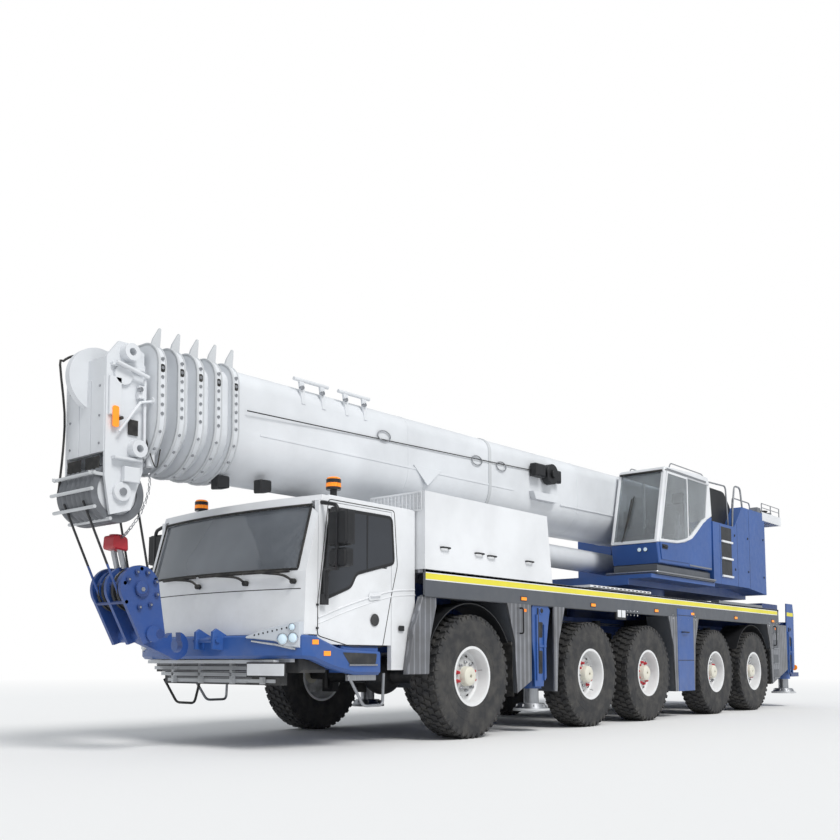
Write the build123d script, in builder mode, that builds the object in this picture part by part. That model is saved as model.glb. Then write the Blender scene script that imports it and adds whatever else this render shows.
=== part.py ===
from build123d import *
from math import cos, sin, radians
import os

os.makedirs("parts", exist_ok=True)

# A five-axle all-terrain mobile crane, in millimetres.
# The machine faces -Y, its left side is +X, the ground is Z = 0.
# The origin is on the ground under the middle of its length.

# Wheelbase and overall length
nose_reach = 4200
gap_1_2 = 2600
gap_2_3 = 1650
gap_3_4 = 2400
gap_4_5 = 1650
tail_reach = 2550
carrier_half = 1375

# Tyres, rims and hubs
tyre_radius = 685
tyre_width = 375
tyre_pitches = 28
tyre_shoulder = 45
rim_radius = 318
rim_width = 340
rim_wall = 18
rim_disc = 24
rim_disc_inset = 175
hub_radius = 150
hub_length = 190
hub_cap_radius = 105
hub_cap_length = 95
spindle_radius = 60
running_fit = 0.1

# Steering knuckles and axle beams
kingpin_inset = 247
kingpin_radius = 34
knuckle_height = 330
knuckle_radius = 54
fork_arm = 44
axle_tube_radius = 95
diff_radius = 230
strut_radius = 62

# Chassis frame
frame_half = 450
frame_bottom = 950
frame_top = 1500
frame_front_reach = 2050
frame_front_bottom = 760
nose_frame_rear = 830
ring_radius = 800
ring_bore = 620
ring_top = 1900
slew_from_axle_1 = 5800
engine_length = 1500
engine_width = 780
engine_height = 640
engine_from_axle_1 = -650

# Outriggers: the left and right beams lie side by side in each box
beam_width = 360
beam_height = 440
beam_middle_z = 1280
beam_length = 2180
beam_play = 5
box_wall = 25
pad_seat = 0.3
pad_size = 160
front_beam_from_axle_1 = 1420
rear_beam_from_axle_5 = 1920
rear_box_top = 1960
jack_tube_radius = 128
jack_tube_top = 1605
jack_tube_bottom = 520
jack_rod_radius = 92
jack_wall = 36
float_radius = 225
float_bottom = 250
float_height = 90
jack_from_side = 185

# Deck, skirts and side columns
deck_top = 1820
deck_plate = 40
skirt_bottom = 1530
skirt_plate = 30
deck_front_reach = 850
deck_rear_reach = 1270
turntable_hole = 930
wheel_room = 720

# Engine housing
housing_front_reach = 850
housing_rear_reach = 1650
housing_rear_lean = 110
housing_top = 2655
housing_wall = 30
trough_half = 600
trough_floor = 2300

# Driver's cab
cab_half = 1250
cab_wall = 55
cab_floor = 1100
cab_rear_reach = 870
cab_front_base = 2460
cab_front_sill = 2440
cab_front_roof = 2240
cab_bulge = 170
sill_z = 1690
cab_roof = 2440
cab_side_bottom = 760
screen_half = 1140
screen_low = 1720
screen_high = 2335
door_front = 2290
door_rear = 1240
door_low = 1010
door_high = 2385
door_play = 6
glass = 8
glass_seat = 0.3

# Bumper
bumper_front = 2750
bumper_corner = 2480
bumper_rear = 1450
bumper_low = 700
bumper_high = 1094
bumper_wall = 90
bumper_half = 1290

# Beacons
beacon_x = 1060
beacon_reach = 1900
beacon_post = 110
beacon_radius = 75
beacon_height = 105

# Superstructure
slew_seat_gap = 0.5
platform_low = 2010
platform_top = 2160
platform_half = 900
cheek_inner = 485
cheek_plate = 60
cheek_front_from_slew = 1050
cheek_rear_from_slew = 3400
housing_rear_half = 1300
cover_inner = 620
cover_front_from_slew = 1020
cover_rear_from_slew = 3400
cover_low_top = 3200
cover_high_top = 3600
cover_bottom = 2080

# Operator's cab
crane_cab_inner = 500
crane_cab_outer = 1285
crane_cab_front_from_slew = -1130
crane_cab_rear_from_slew = 940
crane_cab_top = 3850
crane_cab_wall = 40
crane_cab_lean = 430
crane_door_plate = 22
crane_door_travel = 700

# Boom
boom_pivot_from_slew = 2750
boom_pivot_z = 3250
boom_droop = 0.8
boom_width = 920
boom_height = 1100
boom_top_above_pivot = 660
boom_corner = 190
boom_wall = 14
section_step = 34
section_wall = 12
wear_gap = 0.6
boom_tail = 350
boom_front = 11285
collar_pitch = 213
collar_thick = 95
collar_proud = 28
section_rear = 650
section_rear_step = 60
section_count = 5
boom_pin_radius = 80
boom_boss_radius = 150

# Boom head; the jib lugs' places are along the boom and above its foot pin's line
head_half = 330
head_plate = 30
head_rear = 12175
head_front = 12560
head_top = 640
head_bottom = -940
sheave_radius = 262
sheave_axle_radius = 60
sheave_along = 12400
sheave_below_pivot = -730
sheave_count = 7
sheave_pitch = 78
rope_sheaves = (-2, 2)
top_sheave_radius = 300
top_sheave_height = 330
top_sheave_thick = 70
jib_pin_radius = 35
jib_lug_radius = 78
jib_lug_length = 95
jib_lug_places = [(12355, 540), (12265, -330)]

# Luffing cylinder
luff_foot_from_slew = 500
luff_foot_z = 2440
luff_eye_from_axle_1 = 1960
luff_eye_z = 2455
luff_barrel_radius = 175
luff_rod_radius = 140
luff_eye_radius = 120
luff_eye_half = 80
luff_neck = 400
luff_gland = 520
luff_clevis_gap = 6
luff_clevis_plate = 45

# Hook block, tied back at rest
block_tie = 19
block_drop = 880
block_half = 250
block_plate = 40
block_radius = 205
block_low = 500
block_foot = 125
hook_back = 365
hook_below = 1550
hook_radius = 135
hook_bowl = 68
hook_thick = 80
rope_radius = 11

# Stations worked out from the driving sizes
crane_cab_bottom = platform_top + pad_seat
overall_length = nose_reach + gap_1_2 + gap_2_3 + gap_3_4 + gap_4_5 + tail_reach
y1 = nose_reach - overall_length / 2
y2 = y1 + gap_1_2
y3 = y2 + gap_2_3
y4 = y3 + gap_3_4
y5 = y4 + gap_4_5
y_tail = overall_length / 2
wheel_x = carrier_half - tyre_width / 2
strut_x = frame_half + strut_radius + pad_seat
kingpin_x = wheel_x - kingpin_inset
slew_y = y1 + slew_from_axle_1
axles = [(1, y1, True), (2, y2, True), (3, y3, False), (4, y4, True), (5, y5, True)]
sides = [("left", 1), ("right", -1)]
box_pitch = beam_width + 2 * beam_play + box_wall
# Each outrigger: its box, its side, the side's sign, the middle of its beam
outriggers = [
    ("front", "left", 1, y1 + front_beam_from_axle_1),
    ("front", "right", -1, y1 + front_beam_from_axle_1 - box_pitch),
    ("rear", "left", 1, y5 + rear_beam_from_axle_5),
    ("rear", "right", -1, y5 + rear_beam_from_axle_5 - box_pitch),
]
beam_low = beam_middle_z - beam_height / 2
beam_high = beam_middle_z + beam_height / 2
jack_x = carrier_half - jack_from_side
box_half = carrier_half - jack_from_side - jack_tube_radius - 12
channel_half = beam_width / 2 + beam_play
channel_low = beam_low - beam_play
channel_high = beam_high + beam_play


def keep(part, label):
    """Label a finished piece and write its STEP file."""
    part.label = label
    export_step(part, f"parts/{label}.step")


def block(x0, x1, y_0, y_1, z0, z1, mode=Mode.ADD):
    """A box between two corners, for plates and walls inside a part."""
    with Locations(((x0 + x1) / 2, (y_0 + y_1) / 2, (z0 + z1) / 2)):
        Box(abs(x1 - x0), abs(y_1 - y_0), abs(z1 - z0), mode=mode)


def rod_x(x0, x1, y, z, radius, mode=Mode.ADD):
    """A round bar along X between two stations."""
    with Locations(Location(((x0 + x1) / 2, y, z), (0, 90, 0))):
        Cylinder(radius, abs(x1 - x0), mode=mode)


# Tyres: the outline has one flat for each pitch of the tread blocks
flat_factor = 1 / cos(radians(180 / tyre_pitches))
for number, y, steered in axles:
    for side, sign in sides:
        with BuildPart() as tyre:
            with BuildSketch(Plane.YZ.offset(sign * wheel_x - tyre_width / 2)):
                with Locations((y, tyre_radius)):
                    RegularPolygon(tyre_radius * flat_factor, tyre_pitches, rotation=180 / tyre_pitches)
            extrude(amount=tyre_width)
            rims = tyre.faces().filter_by(Axis.X).edges()
            chamfer(rims, tyre_shoulder)
            rod_x(sign * wheel_x - tyre_width, sign * wheel_x + tyre_width, y, tyre_radius,
                  rim_radius + running_fit, Mode.SUBTRACT)
        keep(tyre.part, f"tyre_{number}_{side}")

# Rims: barrel with two flanges, a disc set deep inside, the hub and its cap
rim_profile = [
    (-rim_width / 2, rim_radius - rim_wall),
    (-rim_width / 2, rim_radius),
    (rim_width / 2, rim_radius),
    (rim_width / 2, rim_radius - rim_wall),
]
for number, y, steered in axles:
    for side, sign in sides:
        disc_x = rim_width / 2 - rim_disc_inset
        with BuildPart() as rim:
            rim_plane = Plane(origin=(sign * wheel_x, y, tyre_radius), x_dir=(sign, 0, 0), z_dir=(0, -sign, 0))
            with BuildSketch(rim_plane):
                with BuildLine():
                    Polyline(*rim_profile, close=True)
                make_face()
                with Locations((disc_x, (rim_radius + spindle_radius) / 2)):
                    Rectangle(rim_disc, rim_radius - spindle_radius - rim_wall)
                with Locations((disc_x - hub_length / 2 + rim_disc, hub_radius / 2)):
                    Rectangle(hub_length, hub_radius)
                with Locations((disc_x + rim_disc + hub_cap_length / 2, hub_cap_radius / 2)):
                    Rectangle(hub_cap_length, hub_cap_radius)
                with Locations((disc_x - hub_length / 2, spindle_radius / 2)):
                    Rectangle(hub_length, spindle_radius + 2 * running_fit, mode=Mode.SUBTRACT)
            revolve(axis=Axis((0, y, tyre_radius), (1, 0, 0)))
        keep(rim.part, f"rim_{number}_{side}")

# Steering knuckles on axles 1, 2, 4 and 5: kingpin boss and wheel spindle
spindle_end = rim_width / 2 - rim_disc_inset - running_fit * 20
for number, y, steered in axles:
    for side, sign in sides:
        if steered:
            with BuildPart() as knuckle:
                with Locations((sign * kingpin_x, y, tyre_radius)):
                    Cylinder(knuckle_radius, knuckle_height)
                rod_x(sign * kingpin_x, sign * (wheel_x + spindle_end), y, tyre_radius, spindle_radius)
                with Locations((sign * kingpin_x, y, tyre_radius)):
                    Cylinder(kingpin_radius + running_fit, knuckle_height, mode=Mode.SUBTRACT)
            keep(knuckle.part, f"knuckle_{number}_{side}")

# Axle beams with forks, kingpins, differential housing and suspension struts
with BuildPart() as axle_set:
    for number, y, steered in axles:
        rod_x(-kingpin_x + 120, kingpin_x - 120, y, tyre_radius, axle_tube_radius)
        with Locations((0, y, tyre_radius)):
            Sphere(diff_radius)
        for side, sign in sides:
            with Locations((sign * strut_x, y, (tyre_radius + frame_top) / 2 - 20)):
                Cylinder(strut_radius, frame_top - tyre_radius - 40)
            if steered:
                for end in (1, -1):
                    arm_z = tyre_radius + end * (knuckle_height / 2 + pad_seat + fork_arm / 2)
                    with Locations((sign * (kingpin_x - 80), y, arm_z)):
                        Box(160, 2 * knuckle_radius, fork_arm)
                    with Locations((sign * kingpin_x, y, arm_z)):
                        Cylinder(knuckle_radius, fork_arm)
                with Locations((sign * (kingpin_x - 130), y, tyre_radius)):
                    Box(60, 2 * knuckle_radius, knuckle_height + 2 * fork_arm + 2 * pad_seat)
                with Locations((sign * kingpin_x, y, tyre_radius)):
                    Cylinder(kingpin_radius, knuckle_height + 2 * pad_seat)
            else:
                rod_x(sign * (kingpin_x - 130), sign * (wheel_x + spindle_end), y, tyre_radius, spindle_radius)
keep(axle_set.part, "axles")

# Chassis: box frame, outrigger boxes, slewing-ring seat and the engine block on top
box_front_y = [(y1 + front_beam_from_axle_1, frame_top + 30), (y5 + rear_beam_from_axle_5, rear_box_top)]
with BuildPart() as chassis:
    block(-frame_half, frame_half, y1 - nose_frame_rear, y5 + rear_beam_from_axle_5, frame_bottom, frame_top)
    block(-frame_half, frame_half, y1 - frame_front_reach, y1 - nose_frame_rear, frame_front_bottom,
          cab_floor - pad_seat)
    for beam_y, box_top in box_front_y:
        block(-box_half, box_half, beam_y - box_pitch - channel_half - box_wall,
              beam_y + channel_half + box_wall, channel_low - box_wall, max(box_top, channel_high + box_wall))
    with Locations((0, slew_y, (frame_top + ring_top) / 2)):
        Cylinder(ring_radius, ring_top - frame_top)
    with Locations((0, slew_y, (frame_top + ring_top) / 2)):
        Cylinder(ring_bore, ring_top - frame_top, mode=Mode.SUBTRACT)
    block(-engine_width / 2, engine_width / 2, y1 + engine_from_axle_1,
          y1 + engine_from_axle_1 + engine_length, frame_top, frame_top + engine_height)
    block(-carrier_half + 100, carrier_half - 100, y5 + rear_beam_from_axle_5 + channel_half + box_wall,
          y_tail, 560, 640)
    block(-frame_half, frame_half, y5 + rear_beam_from_axle_5, y_tail - 60, 560, frame_bottom + 200)
    for end, side, sign, beam_y in outriggers:
        block(sign * (jack_x - beam_length - 40), sign * carrier_half, beam_y - channel_half,
              beam_y + channel_half, channel_low, channel_high, Mode.SUBTRACT)
        for pad_x in (box_half - pad_size / 2, pad_size - box_half):
            block(sign * (pad_x - pad_size / 2), sign * (pad_x + pad_size / 2), beam_y - channel_half,
                  beam_y + channel_half, channel_low, beam_low - pad_seat)
keep(chassis.part, "chassis_frame")

# Outrigger beams, each with its jack tube at the outer end, and the jacks inside
for end, side, sign, beam_y in outriggers:
    with BuildPart() as beam:
        block(sign * (jack_x - beam_length), sign * jack_x, beam_y - beam_width / 2, beam_y + beam_width / 2,
              beam_low, beam_high)
        with Locations((sign * jack_x, beam_y, (jack_tube_top + jack_tube_bottom) / 2)):
            Cylinder(jack_tube_radius, jack_tube_top - jack_tube_bottom)
        with Locations((sign * jack_x, beam_y, (jack_tube_top - jack_wall + jack_tube_bottom) / 2)):
            Cylinder(jack_rod_radius + pad_seat, jack_tube_top - jack_wall - jack_tube_bottom, mode=Mode.SUBTRACT)
    keep(beam.part, f"beam_{end}_{side}")
    with BuildPart() as jack:
        rod_top = jack_tube_top - jack_wall - 10
        with Locations((sign * jack_x, beam_y, (rod_top + float_bottom) / 2)):
            Cylinder(jack_rod_radius, rod_top - float_bottom)
        with Locations((sign * jack_x, beam_y, float_bottom + float_height / 2)):
            Cone(float_radius, float_radius * 0.7, float_height)
    keep(jack.part, f"jack_{end}_{side}")

# Deck with skirts, fenders, side columns and the rear ladder column
deck_front = y1 - deck_front_reach
deck_rear = y5 + deck_rear_reach
front_jack_y = {side: beam_y for end, side, sign, beam_y in outriggers if end == "front"}
jack_gap = channel_half + 70
# Side columns: front, rear and bottom of each; the two beside the jack leave it room
columns = {
    side: [
        (y1 - 1150, y1 - wheel_room - 20, 700),
        (y1 + wheel_room, front_jack_y[side] - jack_gap, 480),
        (front_jack_y[side] + jack_gap, y2 - wheel_room, 480),
        (y3 + wheel_room, y4 - wheel_room, 400),
        (y5 + wheel_room, deck_rear - 40, 445),
    ]
    for side, sign in sides
}
with BuildPart() as deck:
    block(-carrier_half, carrier_half, deck_front, deck_rear, deck_top - deck_plate, deck_top)
    with Locations((0, slew_y, deck_top - deck_plate / 2)):
        Cylinder(turntable_hole, deck_plate, mode=Mode.SUBTRACT)
    for side, sign in sides:
        block(sign * (carrier_half - skirt_plate), sign * carrier_half, deck_front, deck_rear,
              skirt_bottom, deck_top - deck_plate)
        for column_front, column_rear, column_low in columns[side]:
            if column_rear - column_front > 2 * skirt_plate:
                block(sign * (carrier_half - skirt_plate), sign * carrier_half, column_front, column_rear,
                      column_low, skirt_bottom)
        block(sign * (carrier_half - 2 * skirt_plate), sign * (carrier_half + skirt_plate),
              front_jack_y[side] - channel_half - 40, front_jack_y[side] + channel_half + 40,
              skirt_bottom - skirt_plate, jack_tube_top + 40, Mode.SUBTRACT)
        block(sign * (carrier_half - skirt_plate), sign * carrier_half, y1 - 1150, deck_front,
              skirt_bottom - 100, skirt_bottom)
    for bearer_y in (deck_front + 300, y1 + 600, y2 - 300, y3, y4 + 500, y5, deck_rear - 200):
        block(-carrier_half + skirt_plate, carrier_half - skirt_plate, bearer_y - 15, bearer_y + 15,
              frame_top + pad_seat, deck_top - deck_plate)
    block(-engine_width / 2 - 10, engine_width / 2 + 10, y1 + engine_from_axle_1 - 10,
          y1 + engine_from_axle_1 + engine_length + 10, frame_top, deck_top, Mode.SUBTRACT)
keep(deck.part, "carrier_deck")

# Engine housing over the front of the deck, with the trough that the boom rests over
with BuildPart() as housing:
    with BuildSketch(Plane.YZ.offset(-carrier_half)):
        with BuildLine():
            Polyline((y1 - housing_front_reach, deck_top), (y1 + housing_rear_reach, deck_top),
                     (y1 + housing_rear_reach - housing_rear_lean, housing_top),
                     (y1 - housing_front_reach, housing_top), close=True)
        make_face()
    extrude(amount=2 * carrier_half)
    block(-trough_half, trough_half, y1 - 2 * housing_front_reach, y1 + 2 * housing_rear_reach,
          trough_floor, housing_top, Mode.SUBTRACT)
    with BuildSketch(Plane.XZ.offset(-(y1 + housing_rear_reach - housing_rear_lean - housing_wall))):
        with BuildLine():
            Polyline((-carrier_half + housing_wall, deck_top), (carrier_half - housing_wall, deck_top),
                     (carrier_half - housing_wall, housing_top - housing_wall),
                     (trough_half + housing_wall, housing_top - housing_wall),
                     (trough_half + housing_wall, trough_floor - housing_wall),
                     (-trough_half - housing_wall, trough_floor - housing_wall),
                     (-trough_half - housing_wall, housing_top - housing_wall),
                     (-carrier_half + housing_wall, housing_top - housing_wall), close=True)
        make_face()
    extrude(amount=housing_rear_reach - housing_rear_lean + housing_front_reach - 2 * housing_wall,
            mode=Mode.SUBTRACT)
keep(housing.part, "engine_housing")


def cab_outline(height, front, bulge, inset):
    """The cab's outline in plan at a height: straight sides and back, one arc across the front."""
    with BuildSketch(Plane.XY.offset(height)) as outline:
        with BuildLine():
            Polyline((-cab_half + inset, y1 - front + inset), (-cab_half + inset, y1 - cab_rear_reach - inset),
                     (cab_half - inset, y1 - cab_rear_reach - inset), (cab_half - inset, y1 - front + inset))
            ThreePointArc((cab_half - inset, y1 - front + inset), (0, y1 - front - bulge + inset),
                          (-cab_half + inset, y1 - front + inset))
        make_face()
    return outline.sketch


def cab_body(inset, low, high):
    """The cab's body between two heights, drawn in by an inset on every side."""
    # Height, how far the front stands ahead of axle 1, and its bulge
    stations = [(low, cab_front_base, cab_bulge), (sill_z, cab_front_sill, cab_bulge),
                (high, cab_front_roof, cab_bulge * 0.7)]
    loft([cab_outline(height, front, bulge, inset) for height, front, bulge in stations], ruled=True)


with BuildPart() as cab_inner:
    cab_body(cab_wall, cab_floor + cab_wall, cab_roof - cab_wall)
with BuildPart() as cab:
    cab_body(0, cab_floor, cab_roof)
    for side, sign in sides:
        block(sign * (cab_half - cab_wall), sign * cab_half, y1 - door_rear, y1 - cab_rear_reach,
              cab_side_bottom, cab_floor)
    add(cab_inner.part, mode=Mode.SUBTRACT)
    block(-screen_half, screen_half, y1 - cab_front_base - 2 * cab_bulge, y1 - cab_front_roof + 2 * cab_wall,
          screen_low, screen_high, Mode.SUBTRACT)
    for side, sign in sides:
        block(sign * (cab_half - 2 * cab_wall), sign * (cab_half + cab_wall), y1 - door_front, y1 - door_rear,
              cab_floor + cab_wall, door_high, Mode.SUBTRACT)
        block(sign * (cab_half - cab_wall), sign * (cab_half + cab_wall), y1 - door_front, y1 - door_rear,
              door_low - cab_wall, cab_floor + cab_wall, Mode.SUBTRACT)
    # The two beacons stand on the roof, each on its post
    for side, sign in sides:
        with Locations((sign * beacon_x, y1 - beacon_reach, cab_roof + beacon_post / 2)):
            Cylinder(35, beacon_post)
        with Locations((sign * beacon_x, y1 - beacon_reach, cab_roof + beacon_post + beacon_height / 2)):
            Cylinder(beacon_radius, beacon_height)
keep(cab.part, "cab_shell")

# Doors: a plate of the wall's thickness with its window cut out
for side, sign in sides:
    with BuildPart() as door:
        block(sign * (cab_half - cab_wall), sign * cab_half, y1 - door_front + door_play,
              y1 - door_rear - door_play, door_low, door_high - door_play)
        block(sign * (cab_half - 2 * cab_wall), sign * (cab_half + cab_wall), y1 - door_front + 130,
              y1 - door_rear - 70, sill_z + 100, door_high - 70, Mode.SUBTRACT)
        block(sign * (cab_half - 5), sign * (cab_half + 60), y1 - 2270, y1 - 2200, 1380, 1480)
        block(sign * (cab_half + 30), sign * (cab_half + 60), y1 - 2250, y1 - 2220, 1380, 1700)
        block(sign * (cab_half + 30), sign * (cab_half + 210), y1 - 2250, y1 - 2220, 1700, 1730)
        block(sign * (cab_half + 190), sign * (cab_half + 215), y1 - 2250, y1 - 2220, 1700, 2240)
        block(sign * (cab_half + 80), sign * (cab_half + 330), y1 - 2230, y1 - 2130, 1945, 2265)
        block(sign * (cab_half + 90), sign * (cab_half + 320), y1 - 2230, y1 - 2140, 1740, 1900)
    keep(door.part, f"door_{side}")

# Windscreen: a sheet that follows the cab's front, seated in its opening
with BuildPart() as screen_back:
    cab_body(glass * 3, cab_floor, cab_roof)
with BuildPart() as screen:
    cab_body(glass * 2, cab_floor, cab_roof)
    add(screen_back.part, mode=Mode.SUBTRACT)
    with Locations((0, y1 - cab_front_sill, (screen_low + screen_high) / 2)):
        Box(2 * (screen_half - glass_seat), 2 * (cab_front_sill - cab_front_roof + cab_bulge),
            screen_high - screen_low - 2 * glass_seat, mode=Mode.INTERSECT)
keep(screen.part, "cab_glass")

# Inside the driver's cab: dashboard, two seats and the steering wheel on one floor plate
with BuildPart() as inside:
    floor_z = cab_floor + cab_wall
    block(-950, 950, y1 - 2250, y1 - 1050, floor_z, floor_z + 20)
    block(-1100, 1100, y1 - 2250, y1 - 2050, floor_z, sill_z - 80)
    for seat_x in (-620, 620):
        block(seat_x - 240, seat_x + 240, y1 - 1750, y1 - 1260, floor_z, floor_z + 420)
        block(seat_x - 230, seat_x + 230, y1 - 1330, y1 - 1210, floor_z + 300, floor_z + 1050)
    with Locations(Location((620, y1 - 2026, sill_z - 5), (-40, 0, 0))):
        Cylinder(40, 300)
    with Locations(Location((620, y1 - 1930, sill_z + 110), (-40, 0, 0))):
        Cylinder(225, 30)
keep(inside.part, "cab_interior")

# Bumper: a band round the front and the sides below the cab
with BuildPart() as bumper:
    with BuildSketch(Plane.XY.offset(bumper_low)):
        with BuildLine():
            Polyline((-bumper_half, y1 - bumper_corner), (-bumper_half, y1 - bumper_rear),
                     (bumper_half, y1 - bumper_rear), (bumper_half, y1 - bumper_corner))
            ThreePointArc((bumper_half, y1 - bumper_corner), (0, y1 - bumper_front),
                          (-bumper_half, y1 - bumper_corner))
        make_face()
    extrude(amount=bumper_high - bumper_low)
    block(-bumper_half + bumper_wall, bumper_half - bumper_wall, y1 - bumper_corner + bumper_wall,
          y1 - bumper_rear + bumper_wall, bumper_low, bumper_high - 40, Mode.SUBTRACT)
    for side, sign in sides:
        block(sign * (bumper_half - 260), sign * (bumper_half + 10), y1 - 2100, y1 - 1560,
              bumper_low + 60, bumper_high - 150, Mode.SUBTRACT)
        block(sign * (cab_half - cab_wall - 20), sign * (bumper_half + 10), y1 - door_front - 20,
              y1 - bumper_rear + 10, door_low - 20, bumper_high, Mode.SUBTRACT)
    block(-frame_half - 10, frame_half + 10, y1 - frame_front_reach - pad_seat, y1 - bumper_rear + 10,
          bumper_low, bumper_high + 10, Mode.SUBTRACT)
    block(-frame_half, frame_half, y1 - bumper_corner, y1 - frame_front_reach - pad_seat, 1000, bumper_high)
keep(bumper.part, "front_bumper")

# Turntable: ring, platform, cheeks for the boom pin, covers, winch and rear shelf
boom_pivot_y = slew_y + boom_pivot_from_slew
with BuildPart() as turntable:
    with Locations((0, slew_y, (ring_top + slew_seat_gap + platform_low) / 2)):
        Cylinder(ring_radius, platform_low - ring_top - slew_seat_gap)
    with Locations((0, slew_y, ring_top - 60)):
        Cylinder(ring_bore - pad_seat, 260)
    block(-platform_half, platform_half, slew_y - 1250, slew_y + cover_rear_from_slew, platform_low, platform_top)
    block(crane_cab_inner, crane_cab_outer, slew_y - 1250, slew_y + cover_front_from_slew + 60,
          platform_low + 90, platform_top)
    for side, sign in sides:
        with BuildSketch(Plane.YZ.offset(sign * (cheek_inner + cheek_plate / 2) - cheek_plate / 2)):
            with BuildLine():
                Polyline((slew_y + cheek_front_from_slew, platform_low),
                         (slew_y + cheek_front_from_slew, platform_top + 250),
                         (boom_pivot_y - 250, boom_pivot_z + 230), (boom_pivot_y + 250, boom_pivot_z + 230),
                         (slew_y + 4150, boom_pivot_z + 100), (slew_y + 4150, boom_pivot_z - 300),
                         (slew_y + cheek_rear_from_slew, platform_low), close=True)
            make_face()
        extrude(amount=cheek_plate)
        with BuildSketch(Plane.YZ.offset(sign * (cover_inner + housing_rear_half) / 2
                                         - (housing_rear_half - cover_inner) / 2)):
            with BuildLine():
                Polyline((slew_y + cover_front_from_slew, cover_bottom + 80),
                         (slew_y + cover_front_from_slew, cover_low_top), (slew_y + 1950, cover_low_top),
                         (slew_y + 2320, cover_high_top), (slew_y + cover_rear_from_slew, cover_high_top),
                         (slew_y + cover_rear_from_slew, cover_bottom),
                         (slew_y + 2500, cover_bottom + 80), close=True)
            make_face()
        extrude(amount=housing_rear_half - cover_inner)
        block(sign * cheek_inner, sign * cover_inner, slew_y + 2450, slew_y + 2650, platform_low, platform_top + 400)
        block(sign * (cheek_inner + cheek_plate), sign * cover_inner, slew_y + 1200, slew_y + 3300,
              platform_low, platform_top + 100)
        block(sign * 130, sign * 200, slew_y + luff_foot_from_slew - 150, slew_y + luff_foot_from_slew + 150,
              platform_top, luff_foot_z + 120)
    rod_x(-cheek_inner - cheek_plate, cheek_inner + cheek_plate, boom_pivot_y, boom_pivot_z, boom_pin_radius)
    rod_x(-200, 200, slew_y + luff_foot_from_slew, luff_foot_z, 60)
    rod_x(-cheek_inner, cheek_inner, slew_y + 3800, boom_pivot_z - 60, 260)
    for side, sign in sides:
        block(sign * (cheek_inner + 10), sign * housing_rear_half, slew_y + cover_rear_from_slew - 100, slew_y + 4220,
              cover_high_top - 60, cover_high_top)
keep(turntable.part, "turntable")

# Operator's cab: profile from the side, hollow, with its windows cut
cc_front = slew_y + crane_cab_front_from_slew
cc_rear = slew_y + crane_cab_rear_from_slew


def crane_cab_profile(inset):
    """Side view of the operator's cab: leaning windscreen, sloped back."""
    with BuildSketch() as profile:
        with BuildLine():
            Polyline((cc_front + inset, crane_cab_bottom + inset), (cc_front + inset, 2650),
                     (cc_front + crane_cab_lean + inset, crane_cab_top - inset),
                     (cc_rear - 250 - inset, crane_cab_top - inset), (cc_rear - inset, 3300),
                     (cc_rear - inset, crane_cab_bottom + inset), close=True)
        make_face()
    return profile.sketch


with BuildPart() as crane_cab:
    with BuildSketch(Plane.YZ.offset(crane_cab_inner)):
        add(crane_cab_profile(0))
    extrude(amount=crane_cab_outer - crane_cab_inner)
    with BuildSketch(Plane.YZ.offset(crane_cab_inner + crane_cab_wall)):
        add(crane_cab_profile(crane_cab_wall))
    extrude(amount=crane_cab_outer - crane_cab_inner - 2 * crane_cab_wall, mode=Mode.SUBTRACT)
    block(crane_cab_inner + 60, crane_cab_outer - 60, cc_front - 50, cc_front + 500, 2700, 3780, Mode.SUBTRACT)
    block(crane_cab_outer - 100, crane_cab_outer + 50, cc_front + 560, cc_front + 1200, 2400, 3720, Mode.SUBTRACT)
keep(crane_cab.part, "crane_cab_shell")

with BuildPart() as crane_glass:
    with BuildSketch(Plane.YZ.offset(crane_cab_inner + 60 + glass_seat)):
        with BuildLine():
            low = (cc_front + 12, 2700 + glass_seat)
            high = (cc_front + 12 + crane_cab_lean * (3780 - 2700) / (crane_cab_top - 2650), 3780 - glass_seat)
            Polyline(low, (low[0] + glass, low[1]), (high[0] + glass, high[1]), high, close=True)
        make_face()
    extrude(amount=crane_cab_outer - crane_cab_inner - 120 - 2 * glass_seat)
keep(crane_glass.part, "crane_cab_glass")

with BuildPart() as crane_door:
    block(crane_cab_outer + pad_seat, crane_cab_outer + pad_seat + crane_door_plate, cc_front + 520, cc_front + 1240, 2360, 3760)
    block(crane_cab_outer, crane_cab_outer + 50, cc_front + 600, cc_front + 1160, 2760, 3690, Mode.SUBTRACT)
keep(crane_door.part, "crane_cab_door")


def boom_plane(along):
    """The plane across the boom at a distance ahead of its foot pin, Z pointing to the nose."""
    droop = radians(boom_droop)
    return Plane(origin=(0, boom_pivot_y - along * cos(droop), boom_pivot_z - along * sin(droop)),
                 x_dir=(1, 0, 0), z_dir=(0, -cos(droop), -sin(droop)))


def boom_outline(inset):
    """The boom's section: straight sides, rounded upper corners, half-round below."""
    half = boom_width / 2 - inset
    middle = boom_top_above_pivot - boom_height + boom_width / 2
    top = boom_top_above_pivot - inset
    corner = boom_corner - inset if inset < boom_corner - 20 else 20
    with BuildSketch() as outline:
        with Locations((0, middle)):
            Circle(half)
            Rectangle(2 * half, top - middle, align=(Align.CENTER, Align.MIN))
        fillet(outline.vertices().group_by(Axis.Y)[-1], corner)
    return outline.sketch


def boom_side_plane(x):
    """The boom's side view at a station across it: X to the nose, Y up."""
    droop = radians(boom_droop)
    return Plane(origin=(x, boom_pivot_y, boom_pivot_z), x_dir=(0, -cos(droop), -sin(droop)), z_dir=(-1, 0, 0))


def boom_tube(inset, wall, rear, front):
    """One hollow length of the boom."""
    with BuildSketch(boom_plane(rear)) as ring:
        add(boom_outline(inset))
        add(boom_outline(inset + wall), mode=Mode.SUBTRACT)
    extrude(ring.sketch, amount=front - rear)


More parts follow.
